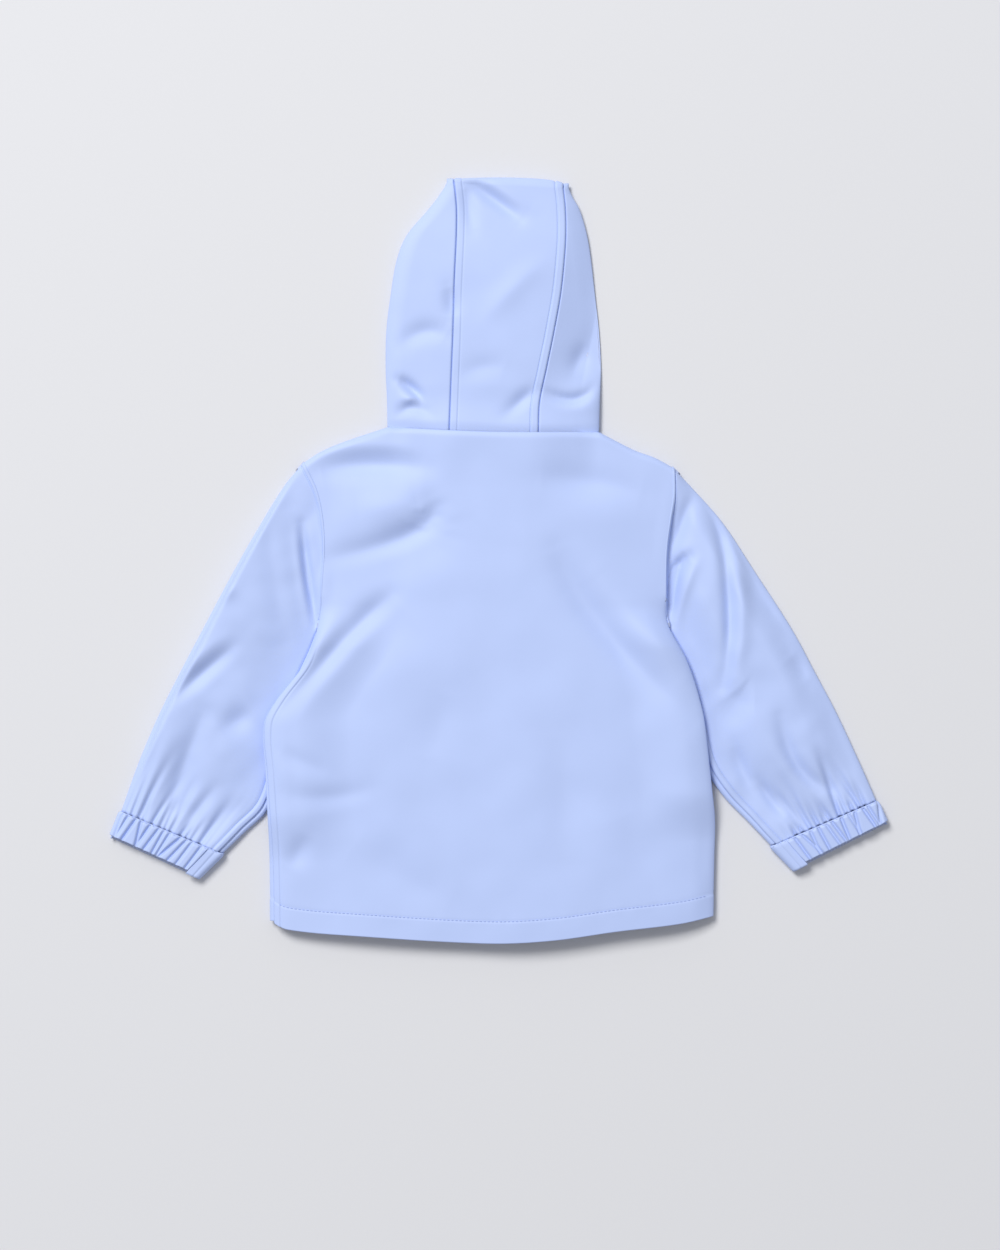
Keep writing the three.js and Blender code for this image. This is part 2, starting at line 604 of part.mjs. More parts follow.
function snap(index) {
  const geometry = new THREE.CylinderGeometry(PLACKET.snapRadius, PLACKET.snapRadius, PLACKET.snapHeight, 16);
  geometry.rotateX(PI / 2);
  geometry.translate(0, lerp(36, -296, index / (PLACKET.snaps - 1)), PLACKET.snapHeight / 2);
  return geometry;
}

const raincoat = new THREE.Group();
function add(name, geometry, finish = FABRIC) {
  const mesh = new THREE.Mesh(geometry, new THREE.MeshStandardMaterial(finish));
  mesh.name = name;
  raincoat.add(mesh);
}

add('back', backPanel());
add('front_left', frontLeft());
add('front_right', frontRight());
for (const hand of ['left', 'right']) {
  add(`sleeve_${hand}`, sleeve(hand));
  add(`cuff_gathered_${hand}`, gatheredCuff(hand));
  add(`cuff_plain_${hand}`, plainCuff(hand));
  add(`hood_${hand}`, hoodSide(hand));
}
add('hood_centre', hoodCentre());
for (let i = 0; i < PLACKET.snaps; i += 1) add(`snap_${i + 1}`, snap(i), SNAP_PLASTIC);

export default raincoat;
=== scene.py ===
# A child's hooded raincoat of coated cloth, fastened and laid flat on its front on a pale surface.
# Each sewn piece is a thin closed shell on its solid's form. Tables and shapes are in millimetres,
# +Z up, and become metres when a mesh is made. Left and right are the wearer's.
import json
from types import SimpleNamespace

import bpy
import numpy as np
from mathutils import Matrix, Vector
from mathutils.bvhtree import BVHTree

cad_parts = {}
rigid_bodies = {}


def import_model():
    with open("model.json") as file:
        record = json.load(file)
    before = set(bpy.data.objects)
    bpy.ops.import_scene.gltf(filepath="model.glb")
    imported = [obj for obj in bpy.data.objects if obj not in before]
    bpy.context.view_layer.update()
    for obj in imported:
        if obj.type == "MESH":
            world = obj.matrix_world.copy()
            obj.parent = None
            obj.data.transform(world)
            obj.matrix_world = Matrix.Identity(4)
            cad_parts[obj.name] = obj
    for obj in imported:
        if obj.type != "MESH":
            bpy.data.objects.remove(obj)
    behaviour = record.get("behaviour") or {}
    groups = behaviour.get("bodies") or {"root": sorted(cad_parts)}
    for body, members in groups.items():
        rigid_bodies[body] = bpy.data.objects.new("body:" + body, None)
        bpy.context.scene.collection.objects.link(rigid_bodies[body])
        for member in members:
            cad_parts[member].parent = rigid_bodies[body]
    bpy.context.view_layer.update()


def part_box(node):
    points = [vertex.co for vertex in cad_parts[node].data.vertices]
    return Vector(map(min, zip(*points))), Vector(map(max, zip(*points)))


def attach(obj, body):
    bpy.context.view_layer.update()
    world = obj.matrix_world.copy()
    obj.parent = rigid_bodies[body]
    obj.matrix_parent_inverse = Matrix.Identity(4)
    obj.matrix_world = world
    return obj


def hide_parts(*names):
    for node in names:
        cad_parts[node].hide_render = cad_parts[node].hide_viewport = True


bl_info = {
    "name": "Raincoat laid flat",
    "version": (1, 0, 0),
    "blender": (4, 5, 0),
    "location": "3D View > Sidebar > Raincoat",
    "description": "Builds a child's raincoat of coated cloth, laid on its front",
    "category": "Add Mesh",
}

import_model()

MM = 0.001


def linear(hex_colour):
    """Turns an sRGB hex colour into linear values."""
    channels = [int(hex_colour[i:i + 2], 16) / 255 for i in (1, 3, 5)]
    return [c / 12.92 if c <= 0.04045 else ((c + 0.055) / 1.055) ** 2.4 for c in channels]


class RaincoatSizes(bpy.types.PropertyGroup):
    """Sizes of the cloth and its sewing."""

    wall: bpy.props.FloatProperty(
        name="Cloth thickness", description="Coated cloth with its backing",
        default=0.0012, min=0.0005, max=0.003, unit="LENGTH")
    crease_depth: bpy.props.FloatProperty(
        name="Crease depth", description="Scales every crease and ripple of the cloth",
        default=1.0, min=0.0, max=1.5, subtype="FACTOR")
    hem_depth: bpy.props.FloatProperty(
        name="Hem depth", description="How deep the turned-up hem is",
        default=0.0187, min=0.01, max=0.03, unit="LENGTH")
    seam_strip: bpy.props.FloatProperty(
        name="Seam allowance", description="Width of the allowance that lies under a seam",
        default=0.0065, min=0.003, max=0.01, unit="LENGTH")
    gather_height: bpy.props.FloatProperty(
        name="Gather height", description="Height of the elasticated cuff's gathers",
        default=0.0030, min=0.0005, max=0.004, unit="LENGTH")
    stitch_pitch: bpy.props.FloatProperty(
        name="Stitch pitch", description="Length of one stitch and the gap after it",
        default=0.0034, min=0.002, max=0.006, unit="LENGTH")
    stitch_length: bpy.props.FloatProperty(
        name="Stitch length", description="Length of thread that shows",
        default=0.0024, min=0.001, max=0.005, unit="LENGTH")
    thread_width: bpy.props.FloatProperty(
        name="Thread width", description="A sewing thread of 0.4 mm, drawn coarser so that it shows",
        default=0.0007, min=0.0003, max=0.0012, unit="LENGTH")
    snap_radius: bpy.props.FloatProperty(
        name="Snap radius", description="Radius of a snap's flange",
        default=0.006, min=0.004, max=0.008, unit="LENGTH")


class RaincoatColours(bpy.types.PropertyGroup):
    """Colours of the cloth, thread, snaps and surface."""

    coating: bpy.props.FloatVectorProperty(
        name="Coating", description="The matt coating's colour",
        default=linear("#b9cbf8"), size=3, min=0.0, max=1.0, subtype="COLOR")
    backing: bpy.props.FloatVectorProperty(
        name="Backing", description="The knitted backing inside",
        default=linear("#c3cff2"), size=3, min=0.0, max=1.0, subtype="COLOR")
    thread: bpy.props.FloatVectorProperty(
        name="Thread", description="The sewing thread",
        default=linear("#a6b8ec"), size=3, min=0.0, max=1.0, subtype="COLOR")
    snap: bpy.props.FloatVectorProperty(
        name="Snaps", description="The moulded snaps",
        default=linear("#b1c1f2"), size=3, min=0.0, max=1.0, subtype="COLOR")
    floor: bpy.props.FloatVectorProperty(
        name="Surface", description="The painted board that the coat lies on",
        default=linear("#dcdde1"), size=3, min=0.0, max=1.0, subtype="COLOR")


# Shape helpers

def lerp(a, b, t):
    """Goes from a to b as t goes from 0 to 1."""
    return a + (b - a) * t


def smoothstep(x, low, high):
    """Goes softly from 0 at low to 1 at high. Low may also be the larger of the two."""
    t = np.clip((x - low) / (high - low), 0, 1)
    return t * t * (3 - 2 * t)


def between(x, starts, full, fades, ends):
    """Rises softly from 0 to 1, and falls back to 0 further on."""
    return smoothstep(x, starts, full) * (1 - smoothstep(x, fades, ends))


def table(names, rows):
    """Reads a table: each named column after the first is a smooth function of the first one."""
    rows = np.array(rows, dtype=float)
    keys = rows[:, 0]
    before = np.maximum(np.arange(len(keys)) - 1, 0)
    after = np.minimum(np.arange(len(keys)) + 1, len(keys) - 1)

    def reader(column):
        values = rows[:, column]
        slopes = (values[after] - values[before]) / (keys[after] - keys[before])

        def read(at):
            key = np.clip(at, keys[0], keys[-1])
            i = np.clip(np.searchsorted(keys, key, side="right") - 1, 0, len(keys) - 2)
            span = keys[i + 1] - keys[i]
            t = (key - keys[i]) / span
            drop = values[i + 1] - values[i]
            start = slopes[i] * span - drop
            end = slopes[i + 1] * span - drop
            return values[i] + drop * t + t * (1 - t) * ((1 - t) * start - t * end)
        return read

    return SimpleNamespace(**{name: reader(column + 1) for column, name in enumerate(names[1:])})


def places(stops, counts):
    """Places from the first stop to the last, with the given number of steps between stops."""
    stops = np.broadcast_arrays(*[np.atleast_1d(np.asarray(stop, dtype=float)) for stop in stops])
    parts = [stops[0]]
    for start, end, count in zip(stops, stops[1:], counts):
        parts.append(lerp(start, end, np.arange(1, count + 1) / count))
    return np.concatenate(parts, axis=-1)


def section(left_x, left_y, right_x, right_y, radius):
    """A flattened tube's section between its left and right folds.

    Places are measured round it: 0 at the left fold, up over the top to the right fold at one side
    length, and back underneath.
    """
    width = np.hypot(right_x - left_x, right_y - left_y)
    quarter = radius * np.pi / 2
    return SimpleNamespace(
        left_x=left_x, left_y=left_y, right_x=right_x, right_y=right_y, radius=radius,
        width=width, quarter=quarter, side=width + 2 * (quarter - radius))


def over_fold(length, radius):
    """The rise and inset of a length of cloth that starts at a fold: positive lengths lie on top."""
    angle = np.clip(length / radius, -np.pi / 2, np.pi / 2)
    straight = np.maximum(0, np.abs(length) - radius * np.pi / 2)
    return np.sin(angle), radius * (1 - np.cos(angle)) + straight


def soft_rise(inset, reach):
    """How far cloth has risen from a fold: steeply at first, then gently over its reach."""
    return np.sqrt(1 - (1 - np.clip(inset / reach, 0, 1)) ** 2)


def round_tube(tube, place):
    """Where a place round a flattened tube lies, and its rise and inset from the nearer fold."""
    lap = np.mod(place, 2 * tube.side)
    near_left = (lap < tube.side / 2) | (lap > 1.5 * tube.side)
    from_left = np.where(lap > tube.side, lap - 2 * tube.side, lap)
    rise, inset = over_fold(np.where(near_left, from_left, tube.side - lap), tube.radius)
    share = np.where(near_left, inset, tube.width - inset) / tube.width
    return SimpleNamespace(
        rise=rise, inset=inset, share=share,
        x=lerp(tube.left_x, tube.right_x, share), y=lerp(tube.left_y, tube.right_y, share))


CREASE_LEGS = 8  # straight legs that stand for a crease's curve
CREASE_ENDS = 0.25  # how much of a crease's height is left at its ends
CREASE_SHARPNESS = 1.8  # 2 would be a bell curve, and less is sharper at the bottom
CREASE_COLUMNS = ("from_x", "from_y", "via_x", "via_y", "to_x", "to_y", "half_width", "height")


def creases(rows):
    """Reads a table of creases, each with a start, a middle point, an end, a half width and a height."""
    return [SimpleNamespace(**dict(zip(CREASE_COLUMNS, row))) for row in rows]


def bow(start, via, end, t):
    """A smooth curve from start to end that passes its middle point half way."""
    pull = 2 * via - (start + end) / 2
    return (1 - t) ** 2 * start + 2 * t * (1 - t) * pull + t ** 2 * end


def crease_height(folds, x, y):
    """The height that creases add: a soft trough, or a ridge where its height is positive."""
    total = np.zeros(np.shape(x))
    steps = np.linspace(0, 1, CREASE_LEGS + 1)
    for c in folds:
        path_x = bow(c.from_x, c.via_x, c.to_x, steps)
        path_y = bow(c.from_y, c.via_y, c.to_y, steps)
        nearest = np.full(np.shape(x), np.inf)
        run = np.zeros(np.shape(x))
        for leg in range(CREASE_LEGS):
            ax, ay, bx, by = path_x[leg], path_y[leg], path_x[leg + 1], path_y[leg + 1]
            square = (bx - ax) ** 2 + (by - ay) ** 2
            t = np.clip(((x - ax) * (bx - ax) + (y - ay) * (by - ay)) / square, 0, 1)
            distance = np.hypot(x - lerp(ax, bx, t), y - lerp(ay, by, t))
            run = np.where(distance < nearest, (leg + t) / CREASE_LEGS, run)
            nearest = np.minimum(nearest, distance)
        taper = lerp(CREASE_ENDS, 1, np.sin(np.pi * run))
        total += c.height * taper * np.exp(-(nearest / c.half_width) ** CREASE_SHARPNESS)
    return total


def ripple(x, y, size, seed):
    """Smooth unevenness between about -1 and 1, with bumps of the given size."""
    cells = np.random.default_rng(seed).uniform(-1, 1, (64, 64))
    u = x / size + 31.5
    v = y / size + 31.5
    i = np.clip(np.floor(u).astype(int), 0, 62)
    j = np.clip(np.floor(v).astype(int), 0, 62)
    s = smoothstep(u - i, 0, 1)
    t = smoothstep(v - j, 0, 1)
    low = lerp(cells[i, j], cells[i + 1, j], s)
    high = lerp(cells[i, j + 1], cells[i + 1, j + 1], s)
    return lerp(low, high, t)


# The unevenness between the creases, as rows of height, bump size and seed
UNEVEN = {
    "body": ((1.5, 55, 5), (0.4, 27, 6)),
    "sleeve": ((0.9, 30, 11), (0.4, 14, 12)),
    "hood": ((0.5, 42, 17), (0.2, 18, 18)),
}


def unevenness(form, x, y):
    """The height that the cloth's unevenness adds."""
    return sum(height * ripple(x, y, size, seed) for height, size, seed in UNEVEN[form])


def groove(distance, half_width, depth):
    """A soft groove along a line, at a distance from it."""
    return -depth * np.exp(-(distance / half_width) ** 2)


BAND_SLOPE = (0.7, 0.5)  # how far a band's edge slopes inside and outside of its width


def band(distance, width, height):
    """A flat band of doubled cloth, from an edge to its own edge."""
    inside, outside = BAND_SLOPE
    return height * (1 - smoothstep(distance, width - inside, width + outside))


# Each seam's own groove, as its half width and depth
SEAM_GROOVES = {
    "hem": (1.0, 0.25),
    "side": (1.3, 0.7),
    "back_left": (0.9, 0.9),
    "armhole": (1.2, 0.9),
    "underarm": (1.2, 1.2),
    "cuff": (1.2, 0.8),
    "hood_side": (0.9, 0.8),
    "hood_centre": (0.7, 0.9),
}
# How an allowance shows beside its seam: how much wider than the strip it is, its height, and the groove
# at its edge, as the distance past the strip, half width and depth
ALLOWANCES = {
    "back_left": (0.6, 0.55, 1, 0.8, 0.3),
    "armhole": (0, 0.7, 0.6, 1.0, 1.5),
    "underarm": (-1, 0.8, -0.4, 0.9, 1.5),
    "cuff": (0, 0.5, 0, 0.8, 0.3),
    "hood_left": (0, 0.35, 0.3, 0.6, 0.25),
    "hood_right": (0, 0.7, 0.3, 0.55, 0.9),
}


def seam_groove(seam, distance):
    """The groove in a seam."""
    return groove(distance, *SEAM_GROOVES[seam])


def allowance(seam, distance, strip):
    """The allowance that shows through the cloth beside a seam, with the groove at its edge."""
    wider, height, past, half_width, depth = ALLOWANCES[seam]
    return band(distance, strip + wider, height) + groove(distance - strip - past, half_width, depth)


# Sizes

SEAM_LAP = 0.5  # how far neighbouring edges run together in the bottom of a seam
# In each form radius is that of its folds, reach is how far in the cloth rises from a fold, and swell is
# the height of its crown. Names ending in _y say from where to where up the coat something comes in, and
# out again where there are four. Names ending in _share say the same in shares of a length, and names
# ending in _across in shares of a width.
BODY = SimpleNamespace(
    radius=6, reach=20, swell=6.5, dome=110, crown_y=(100, 30), edge_ease=12, half_width=150,
    neck_step=3, neck_ease=22, nape_ease=60, collar=1.5, collar_y=(60, 105), seam_y=(-60, -100))
ARMHOLE = SimpleNamespace(underarm=-54, radius=0.5, opens=26)
# A sleeve leaves the armhole's outline by bend, and its height by settle. Its cloth sinks by sink where it
# leaves the armhole. Its lengths are those of its upper side, its underarm and its outer fold.
SLEEVE = SimpleNamespace(
    radius=3.3, cuff_radius=4.5, cuff_share=(0.85, 1), reach=10, swell=9, lowest=3.2,
    sink=3, sink_share=(0, 0.05), sink_across=(0, 0.2, 0.7, 0.9), bend=0.3, settle=0.16,
    flattens=0.9, flattens_share=(0.84, 1), seam_inset=(7.2, 12), seam_share=(0, 0.7),
    folds_share=(0, 0.03), folds_inset=(1, 9), length=290, underarm_length=212, outer_length=336,
    puckers={"left": 3.2, "right": 4.8})
# A sleeve's crown: where it starts and ends rising from the inner fold, and how wide its outer slope is
SLEEVE_CROWN = {"left": (5, 96, 7), "right": (20, 62, 30)}
CROWN_INSET = 2  # how far inside the outer fold that slope starts
# Beyond its right seam the hood falls away by slope. Its lower edge is tucked back and down by tuck.
HOOD = SimpleNamespace(
    radius=5, reach=15, swell=5, half_width=100, arch_y=(100, 150, 240, 320),
    slope=9.5, slope_width=34, slope_y=(125, 175, 285, 322), slope_at_fold=0.3,
    neck_share=(0, 0.16), below_body=0.4, tuck=(3, 1.4), tuck_share=(0, 0.03),
    fall_share=(0, 0.4), fall_across=(0, 0.04),
    seam_sink=0.9, seam_half_width=0.9, seam_z=(4, 7), face_hem=15, hem_height=0.25)
# Each sleeve's lower part lies under the body's edge and lifts it. It begins, is full and leaves at these
# distances below the coat's middle. Pairs are for the left and the right one.
HIDDEN_SLEEVE = SimpleNamespace(
    lift=7.3, begins=38, full=76, leaves=(214, 196), fade=44, reach=(28, 18), slope=46)
SHOULDER_TIP = {"left": (-164, 83), "right": (149, 79)}
NECK_POINT = {"left": (-92.7, 113), "right": (86.7, 108.8)}
NECK_DIP = 2.5
# The gathered half takes up gathered_end of the cuff's depth, and stops a gap short of the outer fold.
# The plain half laps round that fold.
CUFF = SimpleNamespace(
    split=0.17, wider=1.8, raised=1, gathered_end=0.89, depth=25, gap=0.6, lap=0.9, thicker=0.3)
# Jitter and slant are shares of one gather, and the two lengths turn shares into distances
GATHERS = SimpleNamespace(
    count=15, jitter=0.3, slant=0.75, depths=(0.7, 1.1), half_valley=1.45, scallop=0.8,
    scallop_share=(0.7, 1), starts_share=(-0.05, 0.12), cuff_length=100, sleeve_length=95,
    lowest=0.32)
# How far the gathers' valleys run on into the sleeve, how they lean, and how they widen on their way
PUCKERS = SimpleNamespace(
    reaches=(7, 12, 20, 30), lean=0.6, wander=0.03, lean_run=20, half_width=1.7, widens=0.05,
    tab_share=(-0.03, 0.02))
# Snaps hold the lapped fronts off the surface by raised, and the lower front clears the upper one by gap
PLACKET = SimpleNamespace(
    lap=14, raised=1.5, flat=22, slope=16, snaps=5, width=27, height=0.3, gap=0.6, ease=(3, 22))
HEM_CORNERS = (-193, 184.5)
# Unevenness along the hem's sewn line, which fades away beyond its reach
HEM_PUCKERS = SimpleNamespace(height=0.15, size=5, seed=8, reach=5)
HEM_HEIGHT = 0.25

# The body

SIDES = {
    "left": table(("y", "x"), [
        (-307, -193), (-238, -194), (-183, -196.5), (-140, -198), (-120, -188), (-88, -163.5),
        (-54, -152), (-16, -148), (22, -146.5), (57, -152), (83, -164)]),
    "right": table(("y", "x"), [
        (-303, 184.5), (-253, 185.5), (-223, 186), (-194, 183), (-152, 178.5), (-128, 175),
        (-88, 162.5), (-54, 145.5), (-20, 143), (10, 143.5), (34, 146.5), (56, 149.5), (79, 149)]),
}
LEFT_SEAM = table(("y", "inset"), [
    (-307, 7), (-265, 6.5), (-192, 4.8), (-142, 3), (-80, 0.6), (-54, 0), (-20, 0)])
HEM = table(("x", "back", "front"), [
    (-193, -307, -307), (-178, -314, -308), (-116, -319.5, -311), (-8, -325.5, -315),
    (47, -323, -314), (101, -315.5, -311), (156, -309, -306), (184.5, -303, -303)])
SHOULDER = {
    "left": table(("x", "y"), [(-164, 83), (-150, 92), (-130, 100.5), (-92.7, 113)]),
    "right": table(("x", "y"), [(86.7, 108.8), (116.5, 93.5), (134, 87), (149, 79)]),
}
FRONT_NECK = table(("x", "y"), [
    (-92.7, 113), (-82, 91), (-57, 68), (-23, 56.5), (0, 54.4), (20, 56.5), (52, 67), (77, 88),
    (86.7, 108.8)])

BODY_CREASES = creases([
    (-150, 77, -108, 81, -60, 78, 10, -5.4),
    (-150, 88, -110, 97, -70, 93, 7, 1.9),
    (-57, 50, -68, 25, -140, 2, 10, -6),
    (-50, 34, -62, 8, -130, -14, 19, -2.8),
    (-118, 42, -90, 46, -68, 50, 16, 3.1),
    (-90, -30, -130, -68, -178, -124, 9, -6.2),
    (-78, -44, -116, -82, -164, -138, 20, -3.8),
    (-142, -46, -158, -78, -176, -104, 9, 3.8),
    (50, 8, 90, -58, 166, -134, 12, -5.4),
    (86, -14, 122, -56, 160, -92, 13, 2.8),
    (37, 70, 80, 66, 122, 57, 13, -3.8),
    (-182, -162, -164, -172, -142, -181, 8, -1.9),
    (-178, -198, -146, -202, -106, -194, 9, -2.3),
    (-176, -214, -144, -220, -104, -210, 16, -1.2),
    (-176, -262, -168, -248, -160, -234, 9, -2.5),
    (-122, -245, -85, -268, -40, -288, 18, -2.2),
    (-40, -115, -50, -142, -57, -168, 16, -1.6),
    (53, -150, 57, -200, 58, -253, 16, -1.6),
    (105, -218, 120, -250, 138, -287, 16, -1.6),
])


def neckness(x, ease=BODY.neck_ease):
    """1 across the neck, falling to 0 at the neck points over the given stretch."""
    from_point = np.where(x < 0, x - NECK_POINT["left"][0], NECK_POINT["right"][0] - x)
    return smoothstep(from_point, 0, ease)


def top_line(x, is_back):
    """The line along the shoulders, with the nape line or the front neckline between them."""
    (left_x, left_y), (right_x, right_y) = NECK_POINT["left"], NECK_POINT["right"]
    share = np.clip((x - left_x) / (right_x - left_x), 0, 1)
    nape = lerp(left_y, right_y, share) - NECK_DIP * np.sin(np.pi * share)
    neckline = nape if is_back else FRONT_NECK.y(x)
    shoulders = np.where(x <= left_x, SHOULDER["left"].y(x), SHOULDER["right"].y(x))
    return np.where((x > left_x) & (x < right_x), neckline, shoulders)


def sleeve_lift(x, inset, y):
    """How far a hidden sleeve lifts the body at a distance inside its side edge."""
    hidden = HIDDEN_SLEEVE
    reach = np.where(x < 0, *hidden.reach)
    leaves = np.where(x < 0, *hidden.leaves)
    along = between(-y, hidden.begins, hidden.full, leaves, leaves + hidden.fade)
    return hidden.lift * along * (1 - smoothstep(inset, reach, reach + hidden.slope))


def armhole_opening(y):
    """0 below the underarm, and 1 where the armhole's edges lie flat."""
    return smoothstep(y, ARMHOLE.underarm, ARMHOLE.underarm + ARMHOLE.opens)


def placket_raise(x):
    """How far snaps hold the fronts' lapped edges off the surface."""
    return PLACKET.raised * (1 - smoothstep(np.abs(x), PLACKET.flat, PLACKET.flat + PLACKET.slope))


def dome(inset):
    """The body's crown at a distance inside its side edge, from 0 to 1."""
    return 1 - (1 - np.clip(inset / BODY.dome, 0, 1)) ** 2


def body_height(x, y, fold, top_rise, on_top, depth):
    """The height of the body's outer face."""
    lift = sleeve_lift(x, fold.inset, y)
    middle = lift + BODY.radius
    rise = np.where(on_top, soft_rise(fold.inset, BODY.reach), np.abs(fold.rise))
    spread = 1 - (1 - rise) * (1 - armhole_opening(y))
    under = lerp(middle, lift + placket_raise(x), spread * lerp(top_rise, 1, neckness(x)))
    towards_neck = lerp(smoothstep(y, *BODY.crown_y), 1, neckness(x, BODY.nape_ease))
    loft = BODY.swell * dome(fold.inset) * towards_neck
    inside = smoothstep(fold.inset, 0, BODY.edge_ease)
    folds = depth * (crease_height(BODY_CREASES, x, y) + unevenness("body", x, y) * inside)
    collar = BODY.collar * neckness(x) * smoothstep(y, *BODY.collar_y)
    top = middle + BODY.radius + collar + loft + folds
    edge = lerp(middle, top - BODY.neck_step, neckness(x))
    over = lerp(middle, lerp(edge, top, top_rise), spread)
    return np.where(on_top, over, under)


BODY_QUARTER = BODY.radius * np.pi / 2


def body_rows(steps):
    """Rows up the body: a share of the straight run, and a length of cloth left to the top line."""
    share = places([1, 0.95, 0], [26, steps])
    extra = places([BODY_QUARTER, -SEAM_LAP / 2], [9])[1:]
    return SimpleNamespace(
        share=np.concatenate([share, np.zeros(len(extra))])[:, None],
        extra=np.concatenate([np.full(len(share), BODY_QUARTER), extra])[:, None])


def hem_line(share, is_back):
    """The hem's y at a share of the body's width."""
    x = lerp(*HEM_CORNERS, share)
    return HEM.back(x) if is_back else HEM.front(x)


def body_run(rows, share, is_back):
    """How high the body's rows are at one share of its width, and how far they roll over."""
    top_x = lerp(SHOULDER_TIP["left"][0], SHOULDER_TIP["right"][0], share)
    top_y = top_line(top_x, is_back)
    length = rows.share * (top_y - hem_line(share, is_back) - BODY.radius) + rows.extra
    rise, inset = over_fold(length, BODY.radius)
    if not is_back:
        flat = np.where(length < BODY_QUARTER, BODY.radius * length / BODY_QUARTER, inset)
        inset = lerp(inset, flat, neckness(top_x))
    return top_y - inset, rise


def body_panel(rows, is_back, pick, depth):
    """A body panel's outer points and their distances from the hem. Pick gives its places."""
    left_y = body_run(rows, 0.0, is_back)[0]
    right_y = body_run(rows, 1.0, is_back)[0]
    radius = lerp(BODY.radius, ARMHOLE.radius, armhole_opening(left_y))
    tube = section(SIDES["left"].x(left_y), left_y, SIDES["right"].x(right_y), right_y, radius)
    fold = round_tube(tube, pick(tube))
    y, rise = body_run(rows, fold.share, is_back)
    z = body_height(fold.x, y, fold, rise, fold.rise >= 0, depth)
    return np.stack([fold.x, y, z], axis=-1), y - hem_line(fold.share, is_back)


# The sleeves and cuffs

SLEEVE_COLUMNS = ("along", "outer_x", "outer_y", "inner_x", "inner_y")
SLEEVE_FOLDS = {
    "left": table(SLEEVE_COLUMNS, [
        (0, -164.5, 83, -153, -54.5), (0.12, -181, 64, -155, -68), (0.25, -200.6, 32, -159, -86),
        (0.4, -224, -9, -168, -112), (0.55, -249, -56, -176, -148), (0.7, -270, -96, -185, -180),
        (0.82, -288, -132, -196, -213), (0.92, -305, -172, -215, -232),
        (1, -320, -214, -233.5, -250)]),
    "right": table(SLEEVE_COLUMNS, [
        (0, 149.5, 79, 146.5, -54.5), (0.12, 166, 62, 150, -68), (0.25, 192, 32, 157, -86),
        (0.4, 219, -9, 166, -114), (0.55, 250, -57, 171, -148), (0.7, 270.5, -95, 178, -178),
        (0.82, 290, -132, 193.5, -202), (0.92, 308.5, -172, 214, -223),
        (1, 323, -205, 233.5, -243.5)]),
}
CUFF_END = {
    "left": ((-329, -237), (-255, -271)),
    "right": ((332, -225), (254, -264.5)),
}
SLEEVE_CREASES = {
    "left": creases([
        (-166, 31, -162, -6, -154, -54, 4.2, -5.8),
        (-171, 26, -167, -12, -160, -56, 4, 1.4),
        (-178, 40, -172, 0, -166, -44, 12, -2.6),
        (-194, 36, -190, -14, -178, -66, 11, -2.6),
        (-240, -22, -230, -26, -222, -22, 7, 2.6),
        (-224, -74, -250, -96, -277, -121, 7, -5.5),
        (-216, -84, -240, -110, -268, -136, 16, -2.6),
        (-232, -66, -258, -86, -280, -106, 8, 2.6),
        (-250, -130, -266, -172, -280, -208, 9, -5.2),
        (-244, -140, -256, -176, -266, -206, 16, -3),
        (-272, -120, -286, -160, -300, -200, 11, 1.2),
        (-208, -130, -222, -137, -236, -146, 11, -3.9),
        (-241, -194, -256, -214, -270, -233, 5.5, -3.4),
        (-258, -189, -267, -206, -275, -220, 5, -3.1),
        (-226, -208, -238, -224, -252, -240, 6, -2.1),
    ]),
    "right": creases([
        (163, 3, 151, -14, 147, -54, 5, -8.5),
        (170, 0, 161, -22, 153, -52, 5, 2.6),
        (149, 53, 147, 10, 146, -24, 5, -3.2),
        (166, 54, 157, 30, 150, 2, 5.5, -3.4),
        (184, 42, 197, -36, 192, -108, 5.5, -5.6),
        (196, 40, 208, -34, 203, -98, 7, 3),
        (198, -114, 206, -120, 218, -122, 13, -3.2),
        (240, -134, 256, -176, 283, -195, 6.5, -5.6),
        (275, -163, 288, -184, 297, -206, 6, -3.6),
        (202, -158, 208, -176, 216, -195, 6, -3.1),
        (223, -188, 233, -204, 246, -220, 4.5, -4),
        (236, -197, 250, -214, 264, -232, 4.5, -4),
        (211, -24, 230, -38, 250, -53, 9, -2.1),
        (249, -83, 257, -92, 265, -101, 8, -2.6),
    ]),
}


def along_line(points, share):
    """Points at shares of a line's length."""
    steps = np.linalg.norm(np.diff(points, axis=0), axis=1)
    run = np.concatenate([[0], np.cumsum(steps)])
    return [np.interp(share * run[-1], run, points[:, axis]) for axis in range(3)]


def armhole_edge(hand, on_top, depth):
    """Points of an armhole's edge, from the underarm to the shoulder tip."""
    rows = body_rows(80)
    y, rise = body_run(rows, 0.0 if hand == "left" else 1.0, True)
    y, rise = y[:, 0], rise[:, 0]
    above = y > ARMHOLE.underarm
    y = np.concatenate([[ARMHOLE.underarm], y[above]])
    rise = np.concatenate([[1], rise[above]])
    x = SIDES[hand].x(y)
    fold = SimpleNamespace(inset=np.zeros(len(y)), rise=np.zeros(len(y)))
    z = body_height(x, y, fold, rise, on_top, depth)
    sign = 1 if hand == "left" else -1
    return np.stack([x + sign * SEAM_LAP / 2, y, z], axis=-1)


def sleeve_folds(hand, along):
    """A sleeve's outer and inner fold at a share of its length, from the armhole to the cuff."""
    folds = SLEEVE_FOLDS[hand]
    return (folds.outer_x(along), folds.outer_y(along)), (folds.inner_x(along), folds.inner_y(along))


def arm_section(hand, outer, inner, radius):
    """A sleeve's or cuff's section between its outer and inner folds."""
    return section(*outer, *inner, radius) if hand == "left" else section(*inner, *outer, radius)


